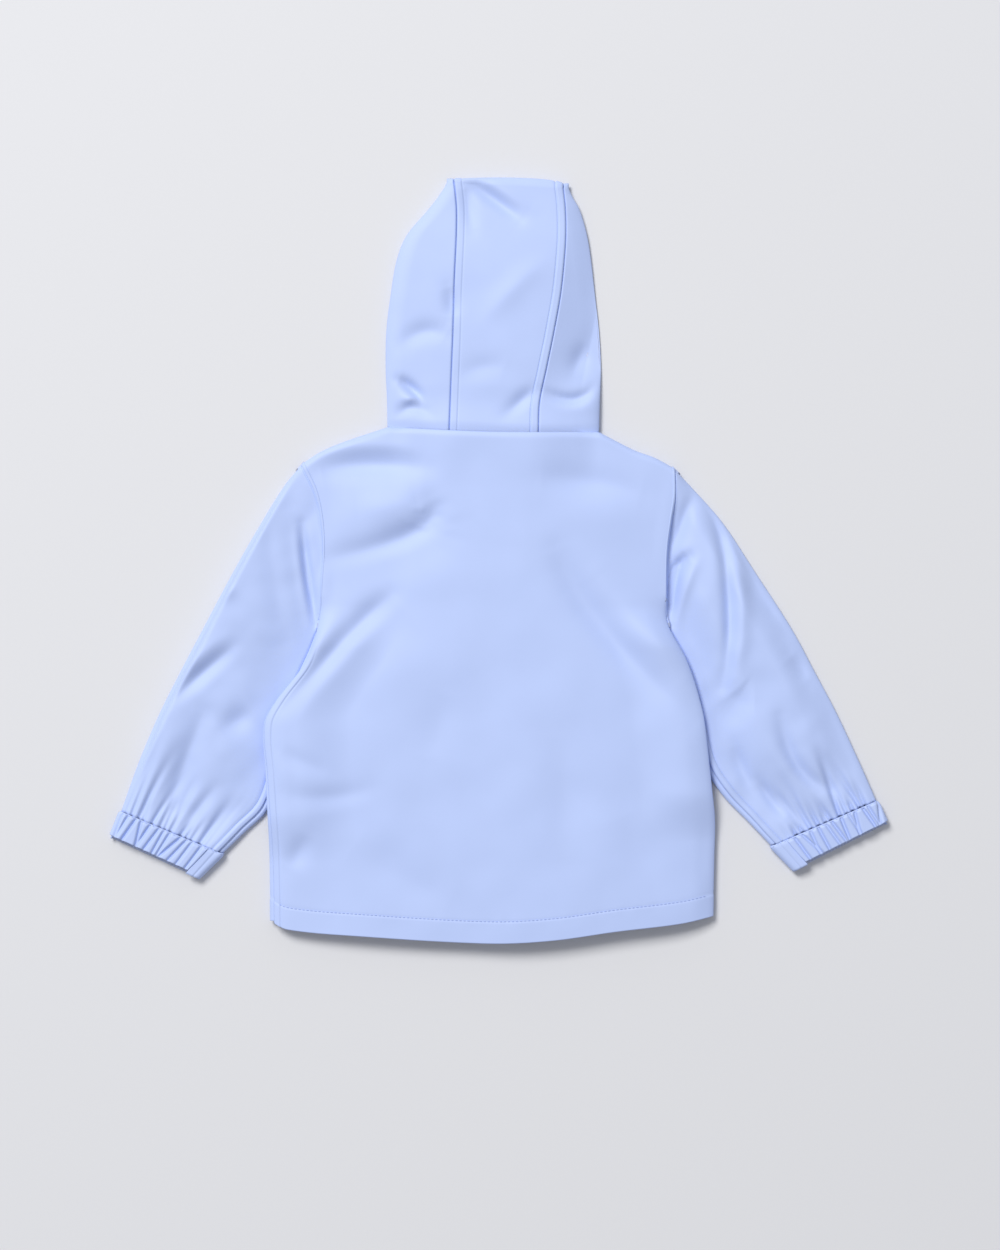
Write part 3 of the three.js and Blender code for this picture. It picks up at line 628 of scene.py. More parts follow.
def sleeve_section(hand, along):
    """A sleeve's section at a share of its length."""
    radius = lerp(SLEEVE.radius, SLEEVE.cuff_radius, smoothstep(along, *SLEEVE.cuff_share))
    return arm_section(hand, *sleeve_folds(hand, along), radius)


def gather_lines(hand):
    """Where the elastic's gathers start and end along a cuff, as shares of it, with their depths."""
    rng = np.random.default_rng(21 if hand == "left" else 34)
    count = GATHERS.count
    even = (np.arange(count) + 0.5) / count
    start = even + rng.uniform(-GATHERS.jitter, GATHERS.jitter, count) / count
    end = even + rng.uniform(-GATHERS.slant, GATHERS.slant, count) / count
    depth = rng.uniform(*GATHERS.depths, count)
    return start, end, depth


def sleeve_puckers(hand, share, to_cuff):
    """Valleys that run on from the cuff's gathers into the sleeve, uneven in length and depth."""
    rng = np.random.default_rng(55 if hand == "left" else 89)
    relief = np.zeros(np.shape(share + to_cuff))
    start, end, strength = gather_lines(hand)
    for a, b, deep in zip(start, end, strength):
        reach = rng.choice(PUCKERS.reaches)
        lean = (a - b) * PUCKERS.lean + rng.uniform(-PUCKERS.wander, PUCKERS.wander)
        half_width = PUCKERS.half_width + PUCKERS.widens * to_cuff
        distance = (share - a - lean * to_cuff / PUCKERS.lean_run) * GATHERS.sleeve_length
        relief -= deep * np.exp(-(distance / half_width) ** 2) * np.exp(-(to_cuff / reach) ** 2)
    tab = share - 1 + CUFF.split if hand == "left" else CUFF.split - share
    return relief * (1 - smoothstep(tab, *PUCKERS.tab_share))


def sleeve_points(hand, along, tube, place, depth):
    """The sleeve's outer points. Its upper end eases from the armhole's edge to its own section."""
    fold = round_tube(tube, place)
    on_top = fold.rise >= 0
    inwards = 1 - fold.share if hand == "left" else fold.share
    from_inner = inwards * tube.width
    low, high, outer = SLEEVE_CROWN[hand]
    bulge = smoothstep(from_inner, low, high) * smoothstep(tube.width - from_inner, CROWN_INSET, outer)
    flatter = SLEEVE.flattens * smoothstep(along, *SLEEVE.flattens_share)
    ends = smoothstep(along, 0, SLEEVE.bend) * (1 - flatter)
    top = 2 * tube.radius + SLEEVE.swell * bulge * ends
    rise = np.where(on_top, soft_rise(fold.inset, SLEEVE.reach), np.abs(fold.rise))
    z = lerp(tube.radius, np.where(on_top, top, 0), rise)
    over = along_line(armhole_edge(hand, True, depth), inwards)
    under = along_line(armhole_edge(hand, False, depth), inwards)
    mouth_x, mouth_y, mouth_z = [np.where(on_top, a, b) for a, b in zip(over, under)]
    sunk = smoothstep(along, *SLEEVE.sink_share) * between(inwards, *SLEEVE.sink_across)
    mouth_z = mouth_z - np.where(on_top, SLEEVE.sink, 0) * sunk
    start = sleeve_section(hand, 0.0)
    bend = 1 - smoothstep(along, 0, SLEEVE.bend)
    x = fold.x + (mouth_x - lerp(start.left_x, start.right_x, fold.share)) * bend
    y = fold.y + (mouth_y - lerp(start.left_y, start.right_y, fold.share)) * bend
    z = lerp(mouth_z, z, smoothstep(along, 0, SLEEVE.settle))
    folds = depth * (crease_height(SLEEVE_CREASES[hand], x, y) + unevenness("sleeve", x, y))
    folds += SLEEVE.puckers[hand] * sleeve_puckers(hand, fold.share, (1 - along) * SLEEVE.length)
    inside = smoothstep(fold.inset, *SLEEVE.folds_inset) * smoothstep(along, *SLEEVE.folds_share)
    folded = np.maximum(z + folds * inside, np.minimum(z, SLEEVE.lowest))
    z = np.where(on_top, folded, z)
    return np.stack([x, y, z], axis=-1), inwards


def gathers(hand, share, down):
    """The gathers' relief: rounded puffs with narrow valleys between them, from 0 to 1."""
    relief = np.ones(np.shape(share + down))
    start, end, depth = gather_lines(hand)
    for a, b, strength in zip(start, end, depth):
        distance = (share - lerp(a, b, down)) * GATHERS.cuff_length
        relief -= strength * np.exp(-(distance / GATHERS.half_valley) ** 2)
    return np.maximum(relief, 0)


def cuff_section(hand, along):
    """A cuff's section at a share of its depth. It is a little wider than the sleeve's end."""
    (outer_x, outer_y), (inner_x, inner_y) = sleeve_folds(hand, 1.0)
    (far_x, far_y), (near_x, near_y) = CUFF_END[hand]
    outer = (lerp(outer_x, far_x, along), lerp(outer_y, far_y, along))
    inner = (lerp(inner_x, near_x, along), lerp(inner_y, near_y, along))
    wider = 1 + CUFF.wider / np.hypot(inner[0] - outer[0], inner[1] - outer[1])
    inner = (lerp(outer[0], inner[0], wider), lerp(outer[1], inner[1], wider))
    return arm_section(hand, outer, inner, SLEEVE.cuff_radius)


def cuff_points(tube, place):
    """A cuff's outer points, a little fuller than the sleeve's end."""
    fold = round_tube(tube, place)
    top = np.where(fold.rise >= 0, 2 * tube.radius + CUFF.raised, 0)
    z = lerp(tube.radius, top, np.abs(fold.rise))
    return np.stack([fold.x, fold.y, z], axis=-1)


# The hood

HOOD_COLUMNS = ("up", "seam_x", "seam_y", "fold_x", "fold_y", "face_x", "face_y")
HOOD_SIDES = {
    "left": table(HOOD_COLUMNS, [
        (0, -40.4, 110.9, -93.3, 113.8, -2, 55.5), (0.12, -39.4, 137, -93.7, 137, -12, 88),
        (0.25, -38.4, 163, -94.8, 163, -30, 118), (0.4, -37.2, 195, -94.2, 195, -43, 152),
        (0.55, -36.5, 226, -90.5, 226, -48, 195), (0.7, -35.2, 256, -85.2, 256, -44, 238),
        (0.8, -34.3, 277, -76.5, 277, -37, 277), (0.9, -34.2, 299, -58, 299, -37.5, 299),
        (0.96, -35.5, 314, -46.5, 314, -38, 314), (1, -36.5, 321, -42.5, 321, -38.5, 321)]),
    "right": table(HOOD_COLUMNS, [
        (0, 34.9, 108, 86.9, 109.6, 2, 55.5), (0.12, 36, 134, 87.6, 134, 12, 88),
        (0.25, 42, 163, 88.4, 163, 28, 118), (0.4, 48.5, 195, 86.8, 195, 40, 152),
        (0.55, 54, 226, 83.4, 226, 45, 195), (0.7, 57.2, 256, 80, 256, 46, 238),
        (0.8, 58.4, 277, 76.6, 277, 50, 277), (0.9, 58, 299, 70, 299, 52, 299),
        (0.96, 56.8, 311, 63, 311, 53.5, 311), (1, 56.2, 316, 61, 316, 54, 316)]),
}
FOREHEAD = 0.8
HOOD_TOP = table(("x", "y"), [
    (-41, 324.5), (-10, 325.5), (20, 325.3), (45, 323.5), (56, 320.5)])
HOOD_CREASES = creases([
    (-26, 316, -24, 300, -21, 280, 6, -2.4),
    (-24, 322, -4, 308, 19, 290, 6, -5.4),
    (-14, 324, 6, 312, 28, 298, 7, 1.8),
    (-12, 202, 12, 228, 38, 252, 10, 1.8),
    (-30, 156, -12, 164, 6, 162, 9, -1.8),
    (-80, 184, -62, 194, -44, 190, 8, -3.2),
    (-84, 153, -72, 145, -60, 129, 4.5, -6),
    (-84, 134, -74, 136, -66, 126, 5, 2.4),
    (-88, 116, -72, 129, -50, 115, 5, -6),
    (-84, 124, -70, 137, -56, 124, 4, 2),
    (31, 145, 17, 131, 2, 116, 6, -4.2),
    (40, 143, 64, 136, 81, 146, 5, -5),
    (76, 185, 70, 172, 64, 158, 7, -2.6),
    (-42, 231, -39, 218, -38, 206, 6, -3),
])


def hood_height(x, y, up, inset, side_rise, top_rise, on_top, depth):
    """The hood's outer face at a distance inside its fold. The rises say how far it has rolled."""
    arch = HOOD.swell * between(y, *HOOD.arch_y) * (1 - (x / HOOD.half_width) ** 2)
    beyond_seam = np.clip((x - HOOD_SIDES["right"].seam_x(up) + 1) / HOOD.slope_width, 0, 1)
    slope = HOOD.slope * beyond_seam * between(y, *HOOD.slope_y)
    folds = depth * (crease_height(HOOD_CREASES, x, y) + unevenness("hood", x, y))
    own = 2 * HOOD.radius + arch - slope + folds
    nape_crown = BODY.swell * dome(BODY.half_width - np.abs(x)) * neckness(x, BODY.nape_ease)
    nape_top = 2 * BODY.radius + nape_crown + BODY.collar
    at_neck = lerp(HOOD.radius * 2, nape_top - BODY.neck_step - HOOD.below_body, neckness(x))
    top = lerp(at_neck, own, smoothstep(up, *HOOD.neck_share))
    middle = HOOD.radius - HOOD.slope_at_fold * slope
    over = lerp(middle, top, soft_rise(inset, HOOD.reach) * top_rise)
    return np.where(on_top, over, middle * (1 - np.abs(side_rise) * top_rise))


def hood_top_rise(x, y):
    """How far the hood has risen from its top fold, from 0 to 1."""
    inset = np.clip((HOOD_TOP.y(x) - y) / HOOD.radius, 0, 1)
    return np.sqrt(1 - (1 - inset) ** 2)


def top_turn_y(x, turn):
    """The y of the hood's top fold where it has turned so far, from 0 in its middle to 1 when flat."""
    return HOOD_TOP.y(x) - HOOD.radius * (1 - np.sqrt(1 - turn ** 2))


def neckline_fall(edges, share, up):
    """How far the hood's lower rows follow the front neckline below a straight line."""
    x = lerp(edges.fold_x(0.0), edges.face_x(0.0), share)
    line = lerp(edges.fold_y(0.0), edges.face_y(0.0), share)
    fall = (1 - smoothstep(up, *HOOD.fall_share)) * smoothstep(share, *HOOD.fall_across)
    return (FRONT_NECK.y(x) - line) * fall


HOOD_UPS = places([0, 0.8, 0.9, 1], [90, 14, 14])[:, None]
TOP_TURNS = (0.85, 0.65, 0.4, 0.15)  # how far round the top fold the last rows are


def tuck_under(points, up, rise):
    """Tucks the hood's lower edge under the body's rolled one."""
    tucked = np.clip(rise, 0, 1) * (1 - smoothstep(up, *HOOD.tuck_share))
    back, down = HOOD.tuck
    points[..., 1] -= back * tucked
    points[..., 2] -= down * tucked


def hood_side_points(hand, depth):
    """One hood side, from the centre strip's seam over the outer fold to the face opening."""
    sign = 1 if hand == "left" else -1
    edges = HOOD_SIDES[hand]
    up = HOOD_UPS
    quarter = HOOD.radius * np.pi / 2
    spare = quarter - HOOD.radius
    fold_x, fold_y = edges.fold_x(up), edges.fold_y(up)
    seam_x, seam_y = edges.seam_x(up) + sign * SEAM_LAP / 2, edges.seam_y(up)
    face_x, face_y = edges.face_x(up), edges.face_y(up)
    to_seam = np.abs(seam_x - fold_x) + spare
    to_face = np.abs(face_x - fold_x) + spare
    stops = [-to_face, -np.minimum(quarter, 0.7 * to_face), 0,
             np.minimum(quarter, 0.7 * to_seam), np.maximum(to_seam - 6, 0.8 * to_seam), to_seam]
    place = places(stops, [24, 8, 8, 30, 10])
    rise, inset = over_fold(place, HOOD.radius)
    under = place < 0
    end_x = np.where(under, face_x, seam_x)
    end_y = np.where(under, face_y, seam_y)
    share = inset / np.abs(end_x - fold_x)
    x = fold_x + sign * inset
    y = lerp(fold_y, end_y, share) + np.where(under, neckline_fall(edges, share, up), 0)
    z = hood_height(x, y, up, inset, rise, hood_top_rise(x, y), ~under, depth)
    points = np.stack([x, y, z], axis=-1)
    tuck_under(points, up, rise)
    last = points[-1]
    rounded = hood_top_rise(last[:, 0], last[:, 1])
    for turn in TOP_TURNS:
        row = last.copy()
        row[:, 1] = np.maximum(last[:, 1], top_turn_y(last[:, 0], turn))
        row[:, 2] = HOOD.radius + (last[:, 2] - HOOD.radius) * turn / rounded
        points = np.concatenate([points, row[None]])
    added = ((0, len(TOP_TURNS)), (0, 0))
    to_edge = np.pad(to_seam - place, added, mode="edge")
    from_face = np.pad(place + to_face, added, mode="edge")
    if hand == "right":
        points, to_edge, from_face = points[:, ::-1], to_edge[:, ::-1], from_face[:, ::-1]
    return points, to_edge, from_face


def sink_seam(points, to_seam):
    """Lowers the cloth next to a seam on the hood's upper side, where the thread pulls it in."""
    on_top = smoothstep(points[..., 2], *HOOD.seam_z)
    points[..., 2] -= HOOD.seam_sink * np.exp(-(to_seam / HOOD.seam_half_width) ** 2) * on_top


def fold_distance(x, up):
    """How far inside the hood's nearer outer fold a point is."""
    return np.minimum(x - HOOD_SIDES["left"].fold_x(up), HOOD_SIDES["right"].fold_x(up) - x)


def hood_centre_points(depth):
    """The centre strip, from the nape over the top fold to the forehead."""
    across = places([0, 0.11, 0.89, 1], [18, 36, 18])
    left, right = HOOD_SIDES["left"], HOOD_SIDES["right"]

    def row(key, up):
        side = [getattr(edges, f"{key}_{axis}")(up) for axis in "xy" for edges in (left, right)]
        half = SEAM_LAP / 2
        x = lerp(side[0] - half, side[1] + half, across)
        return x, lerp(side[2], side[3], across)

    def face(x, y, up, inset, on_top):
        z = hood_height(x, y, up, inset, 1.0, hood_top_rise(x, y), on_top, depth)
        return np.stack([x, y, z], axis=-1)

    x, y = row("seam", HOOD_UPS)
    over = face(x, y, HOOD_UPS, fold_distance(x, HOOD_UPS), True)
    tuck_under(over, HOOD_UPS, 1.0)
    back_up = HOOD_UPS[HOOD_UPS[:, 0] >= FOREHEAD][::-1]
    x, y = row("face", back_up)
    under = face(x, y, back_up, HOOD.half_width, False)
    turns = list(TOP_TURNS) + [-turn for turn in reversed(TOP_TURNS)]
    rows = []
    for turn in turns:
        x = over[-1, :, 0]
        rows.append(np.stack([x, top_turn_y(x, turn), np.full(len(x), HOOD.radius * (1 + turn))], axis=-1))
    points = np.concatenate([over, np.array(rows), under])
    width = np.linalg.norm(points[:, -1] - points[:, 0], axis=-1)[:, None]
    return points, across * width, (1 - across) * width


# Meshes

GROOVE_LIMIT = 0.75  # share of a wall's thickness that a groove may take


def cloth_run(points, axis):
    """The length of cloth from a grid's first line to each point, along one axis of the grid."""
    steps = np.diff(points, axis=axis, prepend=np.take(points, [0], axis=axis))
    return np.cumsum(np.linalg.norm(steps, axis=-1), axis=axis)


def wall_object(name, points, relief, thickness, materials):
    """Turns a grid of outer points into one closed wall, thickened outwards by its relief.

    Grooves never cut through, and nothing goes below the surface, so a wall lies flat where it rests.
    """
    up = np.gradient(points, axis=0, edge_order=2)
    across = np.gradient(points, axis=1, edge_order=2)
    normal = np.cross(across, up)
    normal /= np.maximum(np.linalg.norm(normal, axis=-1, keepdims=True), 1e-9)
    outer = points + normal * np.maximum(relief, -GROOVE_LIMIT * thickness)[..., None]
    outer[..., 2] = np.maximum(outer[..., 2], 0)
    inner = points - normal * thickness
    inner[..., 2] = np.maximum(inner[..., 2], 0)
    height, width = points.shape[:2]
    index = np.arange(height * width).reshape(height, width)
    skin = height * width
    a, b, c, d = index[:-1, :-1], index[:-1, 1:], index[1:, 1:], index[1:, :-1]
    outside = np.stack([a, b, c, d], axis=-1).reshape(-1, 4)
    inside = np.stack([a, d, c, b], axis=-1).reshape(-1, 4) + skin

    def rim(line):
        near, far = line[:-1], line[1:]
        return np.stack([far, near, near + skin, far + skin], axis=-1)

    rims = np.concatenate([
        rim(index[0]), rim(index[-1][::-1]), rim(index[:, 0][::-1]), rim(index[:, -1])])
    faces = np.concatenate([outside, inside, rims])
    mesh = bpy.data.meshes.new(name)
    verts = np.concatenate([outer.reshape(-1, 3), inner.reshape(-1, 3)]) * MM
    mesh.from_pydata(verts.tolist(), [], faces.tolist())
    cut = np.stack([cloth_run(points, 1), cloth_run(points, 0)], axis=-1).reshape(-1, 2) * MM
    layer = mesh.uv_layers.new(name="cut")
    corners = np.empty(len(mesh.loops), dtype=int)
    mesh.loops.foreach_get("vertex_index", corners)
    layer.data.foreach_set("uv", np.concatenate([cut, cut])[corners].ravel())
    for material in materials:
        mesh.materials.append(material)
    slots = np.zeros(len(faces), dtype=int)
    slots[len(outside):len(outside) + len(inside)] = len(materials) - 1
    mesh.polygons.foreach_set("material_index", slots)
    mesh.polygons.foreach_set("use_smooth", np.ones(len(faces), dtype=bool))
    mesh.update()
    piece = bpy.data.objects.new(name, mesh)
    bpy.context.scene.collection.objects.link(piece)
    return piece


def declare(piece, nodes):
    """Attaches a piece to the root body, and hides the solids that it stands for."""
    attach(piece, "root")
    if nodes:
        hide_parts(*nodes)


def finish_cloth(name, points, relief, scene):
    """Makes one cloth piece on its solid's form, attaches it, and hides the solid it stands for."""
    thickness = scene.raincoat_sizes.wall / MM
    piece = wall_object(f"cloth_{name}", points, relief, thickness, cloth_materials(scene.raincoat_colours))
    declare(piece, [name])
    return piece


# Materials

def add_node(tree, kind, settings=None, values=None, links=None):
    """Adds a node with its settings, its fixed inputs, and its links as {input: (node, output)}."""
    node = tree.nodes.new(kind)
    for name, value in (settings or {}).items():
        setattr(node, name, value)
    for name, value in (values or {}).items():
        node.inputs[name].default_value = value
    for name, (source, output) in (links or {}).items():
        tree.links.new(source.outputs[output], node.inputs[name])
    return node


def new_material(name):
    """A material with an empty node tree."""
    material = bpy.data.materials.new(name)
    material.use_nodes = True
    material.node_tree.nodes.clear()
    return material, material.node_tree


def coated_cloth(colours):
    """Polyurethane-coated knit: a thin matt film with a soft wide highlight and a faint grain."""
    material, tree = new_material("matt_polyurethane_coated_knit")
    place = add_node(tree, "ShaderNodeTexCoord")
    # The film's grain is about 0.4 mm across, drawn at 1.2 mm so that it shows
    grain = add_node(tree, "ShaderNodeTexNoise", values={"Scale": 850.0, "Detail": 3.0, "Roughness": 0.6},
                     links={"Vector": (place, "Object")})
    # Handling leaves faint clouds about 40 mm across
    clouds = add_node(tree, "ShaderNodeTexNoise", values={"Scale": 25.0, "Detail": 2.0},
                      links={"Vector": (place, "Object")})
    cool = [c * 0.94 for c in colours.coating] + [1.0]
    tint = add_node(tree, "ShaderNodeMix", {"data_type": "RGBA"},
                    values={6: cool, 7: list(colours.coating) + [1.0]}, links={0: (clouds, "Fac")})
    matt = add_node(tree, "ShaderNodeMapRange", values={"To Min": 0.56, "To Max": 0.66},
                    links={"Value": (grain, "Fac")})
    bump = add_node(tree, "ShaderNodeBump", values={"Strength": 0.16, "Distance": 0.0003},
                    links={"Height": (grain, "Fac")})
    shader = add_node(
        tree, "ShaderNodeBsdfPrincipled",
        values={"IOR": 1.5},
        links={"Base Color": (tint, 2), "Roughness": (matt, "Result"), "Normal": (bump, "Normal")})
    add_node(tree, "ShaderNodeOutputMaterial", links={"Surface": (shader, "BSDF")})
    return material


def knit_backing(colours):
    """Brushed polyester knit: matt, with fine wales that run up each piece."""
    material, tree = new_material("brushed_knit_backing")
    place = add_node(tree, "ShaderNodeUVMap", {"uv_map": "cut"})
    # Wales are about 0.7 mm apart, drawn at 2.9 mm so that they show
    wales = add_node(tree, "ShaderNodeTexWave", values={"Scale": 110.0, "Distortion": 1.5, "Detail": 1.0},
                     links={"Vector": (place, "UV")})
    dark = [c * 0.86 for c in colours.backing] + [1.0]
    tint = add_node(tree, "ShaderNodeMix", {"data_type": "RGBA"},
                    values={6: dark, 7: list(colours.backing) + [1.0]}, links={0: (wales, "Fac")})
    bump = add_node(tree, "ShaderNodeBump", values={"Strength": 0.4, "Distance": 0.0003},
                    links={"Height": (wales, "Fac")})
    shader = add_node(
        tree, "ShaderNodeBsdfPrincipled",
        values={"Roughness": 0.9, "Sheen Weight": 0.25, "Sheen Roughness": 0.6},
        links={"Base Color": (tint, 2), "Normal": (bump, "Normal")})
    add_node(tree, "ShaderNodeOutputMaterial", links={"Surface": (shader, "BSDF")})
    return material


def sewing_thread(colours):
    """Spun polyester thread: a dull fibre with a fine twist."""
    material, tree = new_material("spun_polyester_thread")
    place = add_node(tree, "ShaderNodeTexCoord")
    # The twist shows as marks about 0.45 mm apart
    twist = add_node(tree, "ShaderNodeTexNoise", values={"Scale": 2200.0, "Detail": 1.0},
                     links={"Vector": (place, "Object")})
    dark = [c * 0.8 for c in colours.thread] + [1.0]
    tint = add_node(tree, "ShaderNodeMix", {"data_type": "RGBA"},
                    values={6: dark, 7: list(colours.thread) + [1.0]}, links={0: (twist, "Fac")})
    shader = add_node(tree, "ShaderNodeBsdfPrincipled", values={"Roughness": 0.7},
                      links={"Base Color": (tint, 2)})
    add_node(tree, "ShaderNodeOutputMaterial", links={"Surface": (shader, "BSDF")})
    return material


def snap_resin(colours):
    """Moulded acetal: smooth and satin, with faint flow marks."""
    material, tree = new_material("moulded_acetal")
    place = add_node(tree, "ShaderNodeTexCoord")
    # Flow marks are about 2.5 mm across
    flow = add_node(tree, "ShaderNodeTexNoise", values={"Scale": 400.0, "Detail": 2.0},
                    links={"Vector": (place, "Object")})
    pale = [min(1.0, c * 1.06) for c in colours.snap] + [1.0]
    tint = add_node(tree, "ShaderNodeMix", {"data_type": "RGBA"},
                    values={6: list(colours.snap) + [1.0], 7: pale}, links={0: (flow, "Fac")})
    satin = add_node(tree, "ShaderNodeMapRange", values={"To Min": 0.28, "To Max": 0.38},
                     links={"Value": (flow, "Fac")})
    shader = add_node(tree, "ShaderNodeBsdfPrincipled", values={"IOR": 1.48},
                      links={"Base Color": (tint, 2), "Roughness": (satin, "Result")})
    add_node(tree, "ShaderNodeOutputMaterial", links={"Surface": (shader, "BSDF")})
    return material


def painted_board(colours):
    """Board rolled with matt paint: pale, with a barely visible stipple."""
    material, tree = new_material("matt_painted_board")
    place = add_node(tree, "ShaderNodeTexCoord")
    # The roller's stipple is about 2 mm across
    stipple = add_node(tree, "ShaderNodeTexNoise", values={"Scale": 500.0, "Detail": 2.0},
                       links={"Vector": (place, "Object")})
    dim = [c * 0.985 for c in colours.floor] + [1.0]
    tint = add_node(tree, "ShaderNodeMix", {"data_type": "RGBA"},
                    values={6: dim, 7: list(colours.floor) + [1.0]}, links={0: (stipple, "Fac")})
    bump = add_node(tree, "ShaderNodeBump", values={"Strength": 0.03, "Distance": 0.0002},
                    links={"Height": (stipple, "Fac")})
    shader = add_node(tree, "ShaderNodeBsdfPrincipled", values={"Roughness": 0.8},
                      links={"Base Color": (tint, 2), "Normal": (bump, "Normal")})
    add_node(tree, "ShaderNodeOutputMaterial", links={"Surface": (shader, "BSDF")})
    return material


def cloth_materials(colours):
    """The coating for the outside of each piece and the backing for its inside."""
    named = bpy.data.materials.get
    outside = named("matt_polyurethane_coated_knit") or coated_cloth(colours)
    inside = named("brushed_knit_backing") or knit_backing(colours)
    return [outside, inside]


# Repeated parts, whose sizes are in metres

RAY_START = 0.08
THREAD_LIFT = SimpleNamespace(back=0.0002, cuff=-0.0002, front=-0.0004)  # off the cloth's outer face
SNAP = SimpleNamespace(flange=0.0005, dome_scale=(0.78, 0.78, 0.14), dome_at=(0, 0, -0.0002), height=0.0011)


def drop_line(surfaces, line, from_above, lift):
    """Lays a line of x, y points on the pieces, in metres, from above or from underneath."""
    side = 1 if from_above else -1
    points = []
    for x, y in line:
        start = Vector((x * MM, y * MM, RAY_START * side))
        hits = [tree.ray_cast(start, Vector((0, 0, -side)))[0] for tree in surfaces]
        heights = [hit.z for hit in hits if hit is not None]
        if heights:
            outer = max(heights) if from_above else min(heights)
            points.append((x * MM, y * MM, outer + side * lift))
    return points


def instance_tree(name, inputs):
    """A geometry node tree with the given named number inputs, and its group input node."""
    tree = bpy.data.node_groups.new(name, "GeometryNodeTree")
    tree.interface.new_socket(name="Geometry", in_out="INPUT", socket_type="NodeSocketGeometry")
    tree.interface.new_socket(name="Geometry", in_out="OUTPUT", socket_type="NodeSocketGeometry")
    for label, value in inputs.items():
        socket = tree.interface.new_socket(name=label, in_out="INPUT", socket_type="NodeSocketFloat")
        socket.default_value = value
    return tree, add_node(tree, "NodeGroupInput")


def end_tree(tree, instances, material):
    """Makes a tree's instances into real meshes of one material, and puts them out."""
    real = add_node(tree, "GeometryNodeRealizeInstances", links={"Geometry": (instances, "Instances")})
    finished = add_node(tree, "GeometryNodeSetMaterial", values={"Material": material},
                        links={"Geometry": (real, "Geometry")})
    add_node(tree, "NodeGroupOutput", links={"Geometry": (finished, "Geometry")})


def run_tree(name, source, tree, values):
    """Runs a node tree on an object, and turns the result into a plain mesh object."""
    modifier = source.modifiers.new(name, "NODES")
    modifier.node_group = tree
    sockets = {item.name: item.identifier for item in tree.interface.items_tree if item.in_out == "INPUT"}
    for label, value in values.items():
        modifier[sockets[label]] = value
    bpy.context.view_layer.update()
    evaluated = source.evaluated_get(bpy.context.evaluated_depsgraph_get())
    mesh = bpy.data.meshes.new_from_object(evaluated)
    if not mesh.vertices:
        raise RuntimeError(f"{name}: the node tree made nothing")
    mesh.name = name
    source.modifiers.remove(modifier)
    bpy.data.objects.remove(source)
    mesh.polygons.foreach_set("use_smooth", np.ones(len(mesh.polygons), dtype=bool))
    piece = bpy.data.objects.new(name, mesh)
    bpy.context.scene.collection.objects.link(piece)
    return piece


def guide_object(name, lines):
    """An object of bare edges, one run for each line of points."""
    verts = [point for line in lines for point in line]
    edges = []
    start = 0
    for line in lines:
        edges += [(i, i + 1) for i in range(start, start + len(line) - 1)]
        start += len(line)
    mesh = bpy.data.meshes.new(name)
    mesh.from_pydata(verts, edges, [])
    guide = bpy.data.objects.new(name, mesh)
    bpy.context.scene.collection.objects.link(guide)
    return guide


def stitches(name, lines, sizes, material):
    """Stitches along lines of points, as one plain mesh."""
    values = {"Pitch": sizes.stitch_pitch, "Length": sizes.stitch_length, "Width": sizes.thread_width}
    tree, start = instance_tree("Stitches", values)
    curve = add_node(tree, "GeometryNodeMeshToCurve", links={"Mesh": (start, "Geometry")})
    points = add_node(tree, "GeometryNodeCurveToPoints", {"mode": "LENGTH"},
                      links={"Curve": (curve, "Curve"), "Length": (start, "Pitch")})
    bead = add_node(tree, "GeometryNodeMeshUVSphere", values={"Segments": 8, "Rings": 5, "Radius": 0.5})
    shape = add_node(tree, "ShaderNodeCombineXYZ",
                     links={"X": (start, "Width"), "Y": (start, "Width"), "Z": (start, "Length")})
    stitch = add_node(tree, "GeometryNodeTransform",
                      links={"Geometry": (bead, "Mesh"), "Scale": (shape, "Vector")})
    laid = add_node(tree, "GeometryNodeInstanceOnPoints",
                    links={"Points": (points, "Points"), "Instance": (stitch, "Geometry"),
                           "Rotation": (points, "Rotation")})
    end_tree(tree, laid, material)
    return run_tree(name, guide_object(name, lines), tree, values)


def snap_caps(name, centres, sizes, material):
    """Snap caps with their domes downwards, one at each centre, as one plain mesh."""
    values = {"Radius": sizes.snap_radius, "Flange": SNAP.flange}
    tree, start = instance_tree("Snaps", values)
    flange = add_node(tree, "GeometryNodeMeshCylinder", values={"Vertices": 40},
                      links={"Radius": (start, "Radius"), "Depth": (start, "Flange")})
    ball = add_node(tree, "GeometryNodeMeshUVSphere", values={"Segments": 40, "Rings": 20},
                    links={"Radius": (start, "Radius")})
    flat_dome = add_node(tree, "GeometryNodeTransform",
                         values={"Scale": SNAP.dome_scale, "Translation": SNAP.dome_at},
                         links={"Geometry": (ball, "Mesh")})
    cap = add_node(tree, "GeometryNodeJoinGeometry", links={"Geometry": (flange, "Mesh")})
    tree.links.new(flat_dome.outputs["Geometry"], cap.inputs["Geometry"])
    set_on = add_node(tree, "GeometryNodeInstanceOnPoints",
                      links={"Points": (start, "Geometry"), "Instance": (cap, "Geometry")})
    end_tree(tree, set_on, material)
    guide = guide_object(name, [[centre] for centre in centres])
    return run_tree(name, guide, tree, values)


def surface_of(*names):
    """Search trees of finished cloth pieces, to lay stitches on."""
    trees = []
    for name in names:
        mesh = bpy.data.objects[f"cloth_{name}"].data
        verts = [vertex.co[:] for vertex in mesh.vertices]
        trees.append(BVHTree.FromPolygons(verts, [tuple(p.vertices) for p in mesh.polygons]))
    return trees


# Operators

